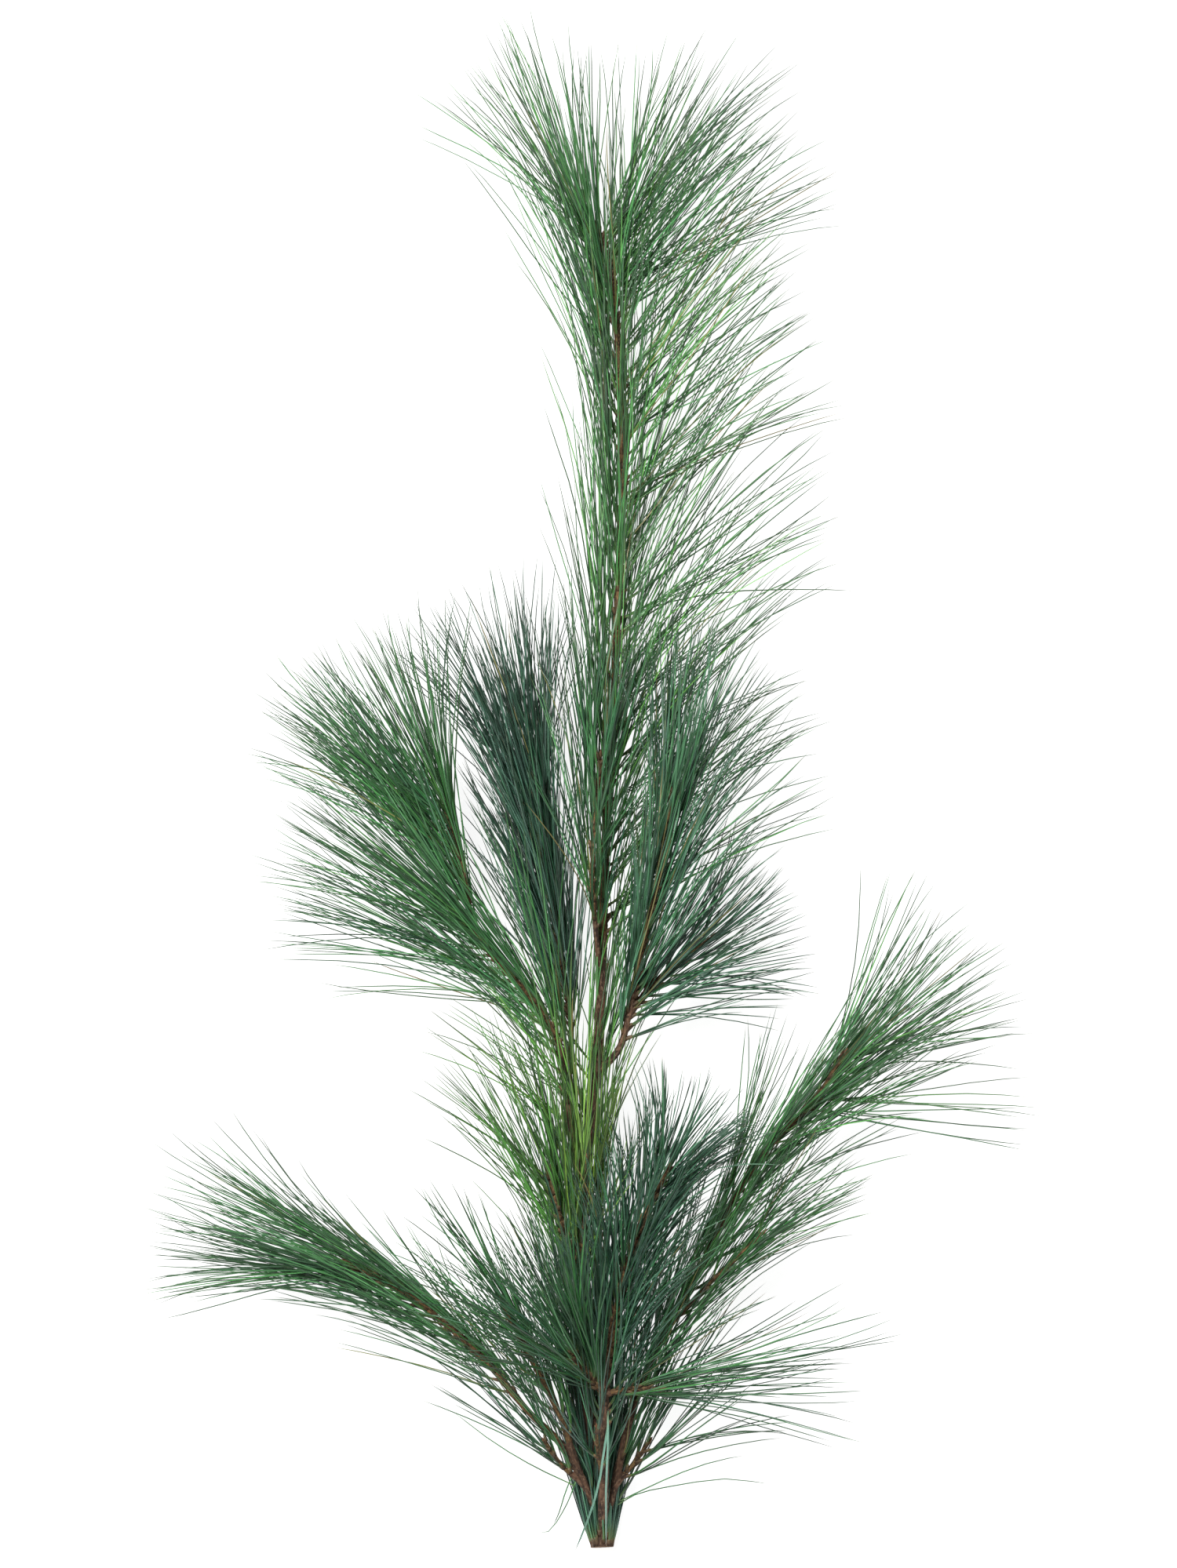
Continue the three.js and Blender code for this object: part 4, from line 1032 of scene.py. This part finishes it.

# The bloom colour and amount of each finish are the pale stomatal rows, made brighter as a painted highlight
NEEDLE_COLOURS = {
    "needle_green": {
        "Deep": (0.018, 0.07, 0.04, 1), "Middle": (0.036, 0.135, 0.036, 1), "Bright": (0.085, 0.23, 0.04, 1),
        "Bloom And Highlight": (0.2, 0.36, 0.24, 1), "Bloom And Highlight Amount": 0.25},
    "needle_dark": {
        "Deep": (0.009, 0.042, 0.022, 1), "Middle": (0.026, 0.1, 0.038, 1), "Bright": (0.05, 0.16, 0.05, 1),
        "Bloom And Highlight": (0.24, 0.44, 0.36, 1), "Bloom And Highlight Amount": 0.32},
    "needle_yellow": {
        "Deep": (0.02, 0.08, 0.03, 1), "Middle": (0.055, 0.17, 0.032, 1), "Bright": (0.145, 0.26, 0.04, 1),
        "Bloom And Highlight": (0.24, 0.38, 0.2, 1), "Bloom And Highlight Amount": 0.25},
}
NEEDLE_FINISH = {slot: finish_of(slot.replace("_", " "), LIVING_NEEDLE, values, 0.4, 0.0002)
                 for slot, values in NEEDLE_COLOURS.items()}
BARK_FINISH = finish_of("stem bark", YOUNG_BARK, {
    "Furrow": (0.028, 0.015, 0.01, 1), "Plate": (0.14, 0.07, 0.038, 1), "Skin": (0.25, 0.165, 0.1, 1),
    "Skin Amount": 0.5, "Size": 420.0}, 0.7, 0.0006)
TWIG_FINISH = finish_of("twig bark", YOUNG_BARK, {
    "Furrow": (0.03, 0.02, 0.01, 1), "Plate": (0.15, 0.08, 0.03, 1), "Skin": (0.3, 0.19, 0.06, 1),
    "Skin Amount": 0.5, "Size": 650.0}, 0.6, 0.0004)
SHEATH_FINISH = finish_of("papery sheath", PAPERY_SCALE, {
    "Foot": (0.07, 0.035, 0.016, 1), "Mouth": (0.13, 0.09, 0.04, 1), "Fleck": (0.05, 0.03, 0.014, 1),
}, 0.5, 0.0002)
BUD_FINISH = finish_of("bud scales", PAPERY_SCALE, {
    "Foot": (0.13, 0.055, 0.024, 1), "Mouth": (0.24, 0.12, 0.055, 1), "Fleck": (0.09, 0.04, 0.018, 1),
}, 0.5, 0.0003)
CUT_FINISH = finish_of("cut wood", cut_group(), {
    "Early": (0.62, 0.47, 0.28, 1), "Late": (0.42, 0.26, 0.13, 1)}, 0.3, 0.0001)

# The branch


def dress(piece, node):
    """A piece rides on the branch and stands for one of its solids."""
    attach(piece, "root")
    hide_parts(node)


dress(stem_piece(), "woody_stem")
dress(cut_face_piece(), "woody_stem")
for number, (shoot_name, shoot) in enumerate(SHOOTS.items()):
    rng = np.random.default_rng(100 + number)
    own = lay_bundles(shoot, rng)
    rows = [own] + [lay_bundles(row, rng) for row in WOOD_ROWS.get(shoot_name, [])]
    bundles = {key: np.concatenate([row[key] for row in rows]) for key in own}
    node = "needles_" + shoot_name
    dress(needle_piece(shoot_name, bundles, NEEDLE_FINISH[shoot["slot"]], rng), node)
    dress(sheath_piece(shoot_name, bundles, rng), node)
    dress(twig_piece(shoot_name, shoot, own), node)
    dress(bud_piece(shoot_name, shoot, rng), node)

# Floor, light and camera


def floor_piece():
    """A wide pale sheet just under the branch."""
    corners = [(-1, -1), (1, -1), (1, 1), (-1, 1)]
    vertices = np.array([[x * FLOOR_HALF, y * FLOOR_HALF, FLOOR_LEVEL] for x, y in corners], float)
    material = bpy.data.materials.new("pale floor")
    material.use_nodes = True
    shader = material.node_tree.nodes["Principled BSDF"]
    looks = {"Base Color": (0.3, 0.3, 0.3, 1), "Roughness": 0.9, "Emission Color": (1, 1, 1, 1),
             "Emission Strength": 0.88}
    for title, value in looks.items():
        shader.inputs[title].default_value = value
    piece = put_mesh("floor", vertices, np.array([[0, 1, 2, 3]]), np.empty((0, 3), int), material)


def soft_light(name, place, size, power):
    """A square lamp that faces the middle of the branch."""
    lamp = bpy.data.lights.new(name, "AREA")
    lamp.size, lamp.energy = size, power
    lamp.color = (1, 0.99, 0.97)
    holder = bpy.data.objects.new(name, lamp)
    holder.location = place
    aim = -holder.location
    holder.rotation_euler = aim.to_track_quat("-Z", "Y").to_euler()
    bpy.context.scene.collection.objects.link(holder)


def overhead_camera():
    """A camera straight above, whose long side takes in the picture's height at the stems."""
    data = bpy.data.cameras.new("camera")
    data.sensor_width = 36
    data.lens = data.sensor_width * (CAMERA_HEIGHT - FOCUS_HEIGHT) / PICTURE_HEIGHT
    data.clip_end = 50
    camera = bpy.data.objects.new("camera", data)
    camera.location = (PICTURE_CENTRE[0] * MM, PICTURE_CENTRE[1] * MM, CAMERA_HEIGHT * MM)
    bpy.context.scene.collection.objects.link(camera)
    bpy.context.scene.camera = camera


floor_piece()
soft_light("key", (-0.8, 0.6, 2.0), 0.9, 68)
soft_light("fill", (1.3, -0.6, 1.6), 1.6, 8)
overhead_camera()
world = bpy.data.worlds.new("studio")
world.use_nodes = True
world.node_tree.nodes["Background"].inputs["Color"].default_value = (1, 1, 1, 1)
world.node_tree.nodes["Background"].inputs["Strength"].default_value = 0.25
bpy.context.scene.world = world
bpy.context.scene.view_settings.view_transform = "Standard"
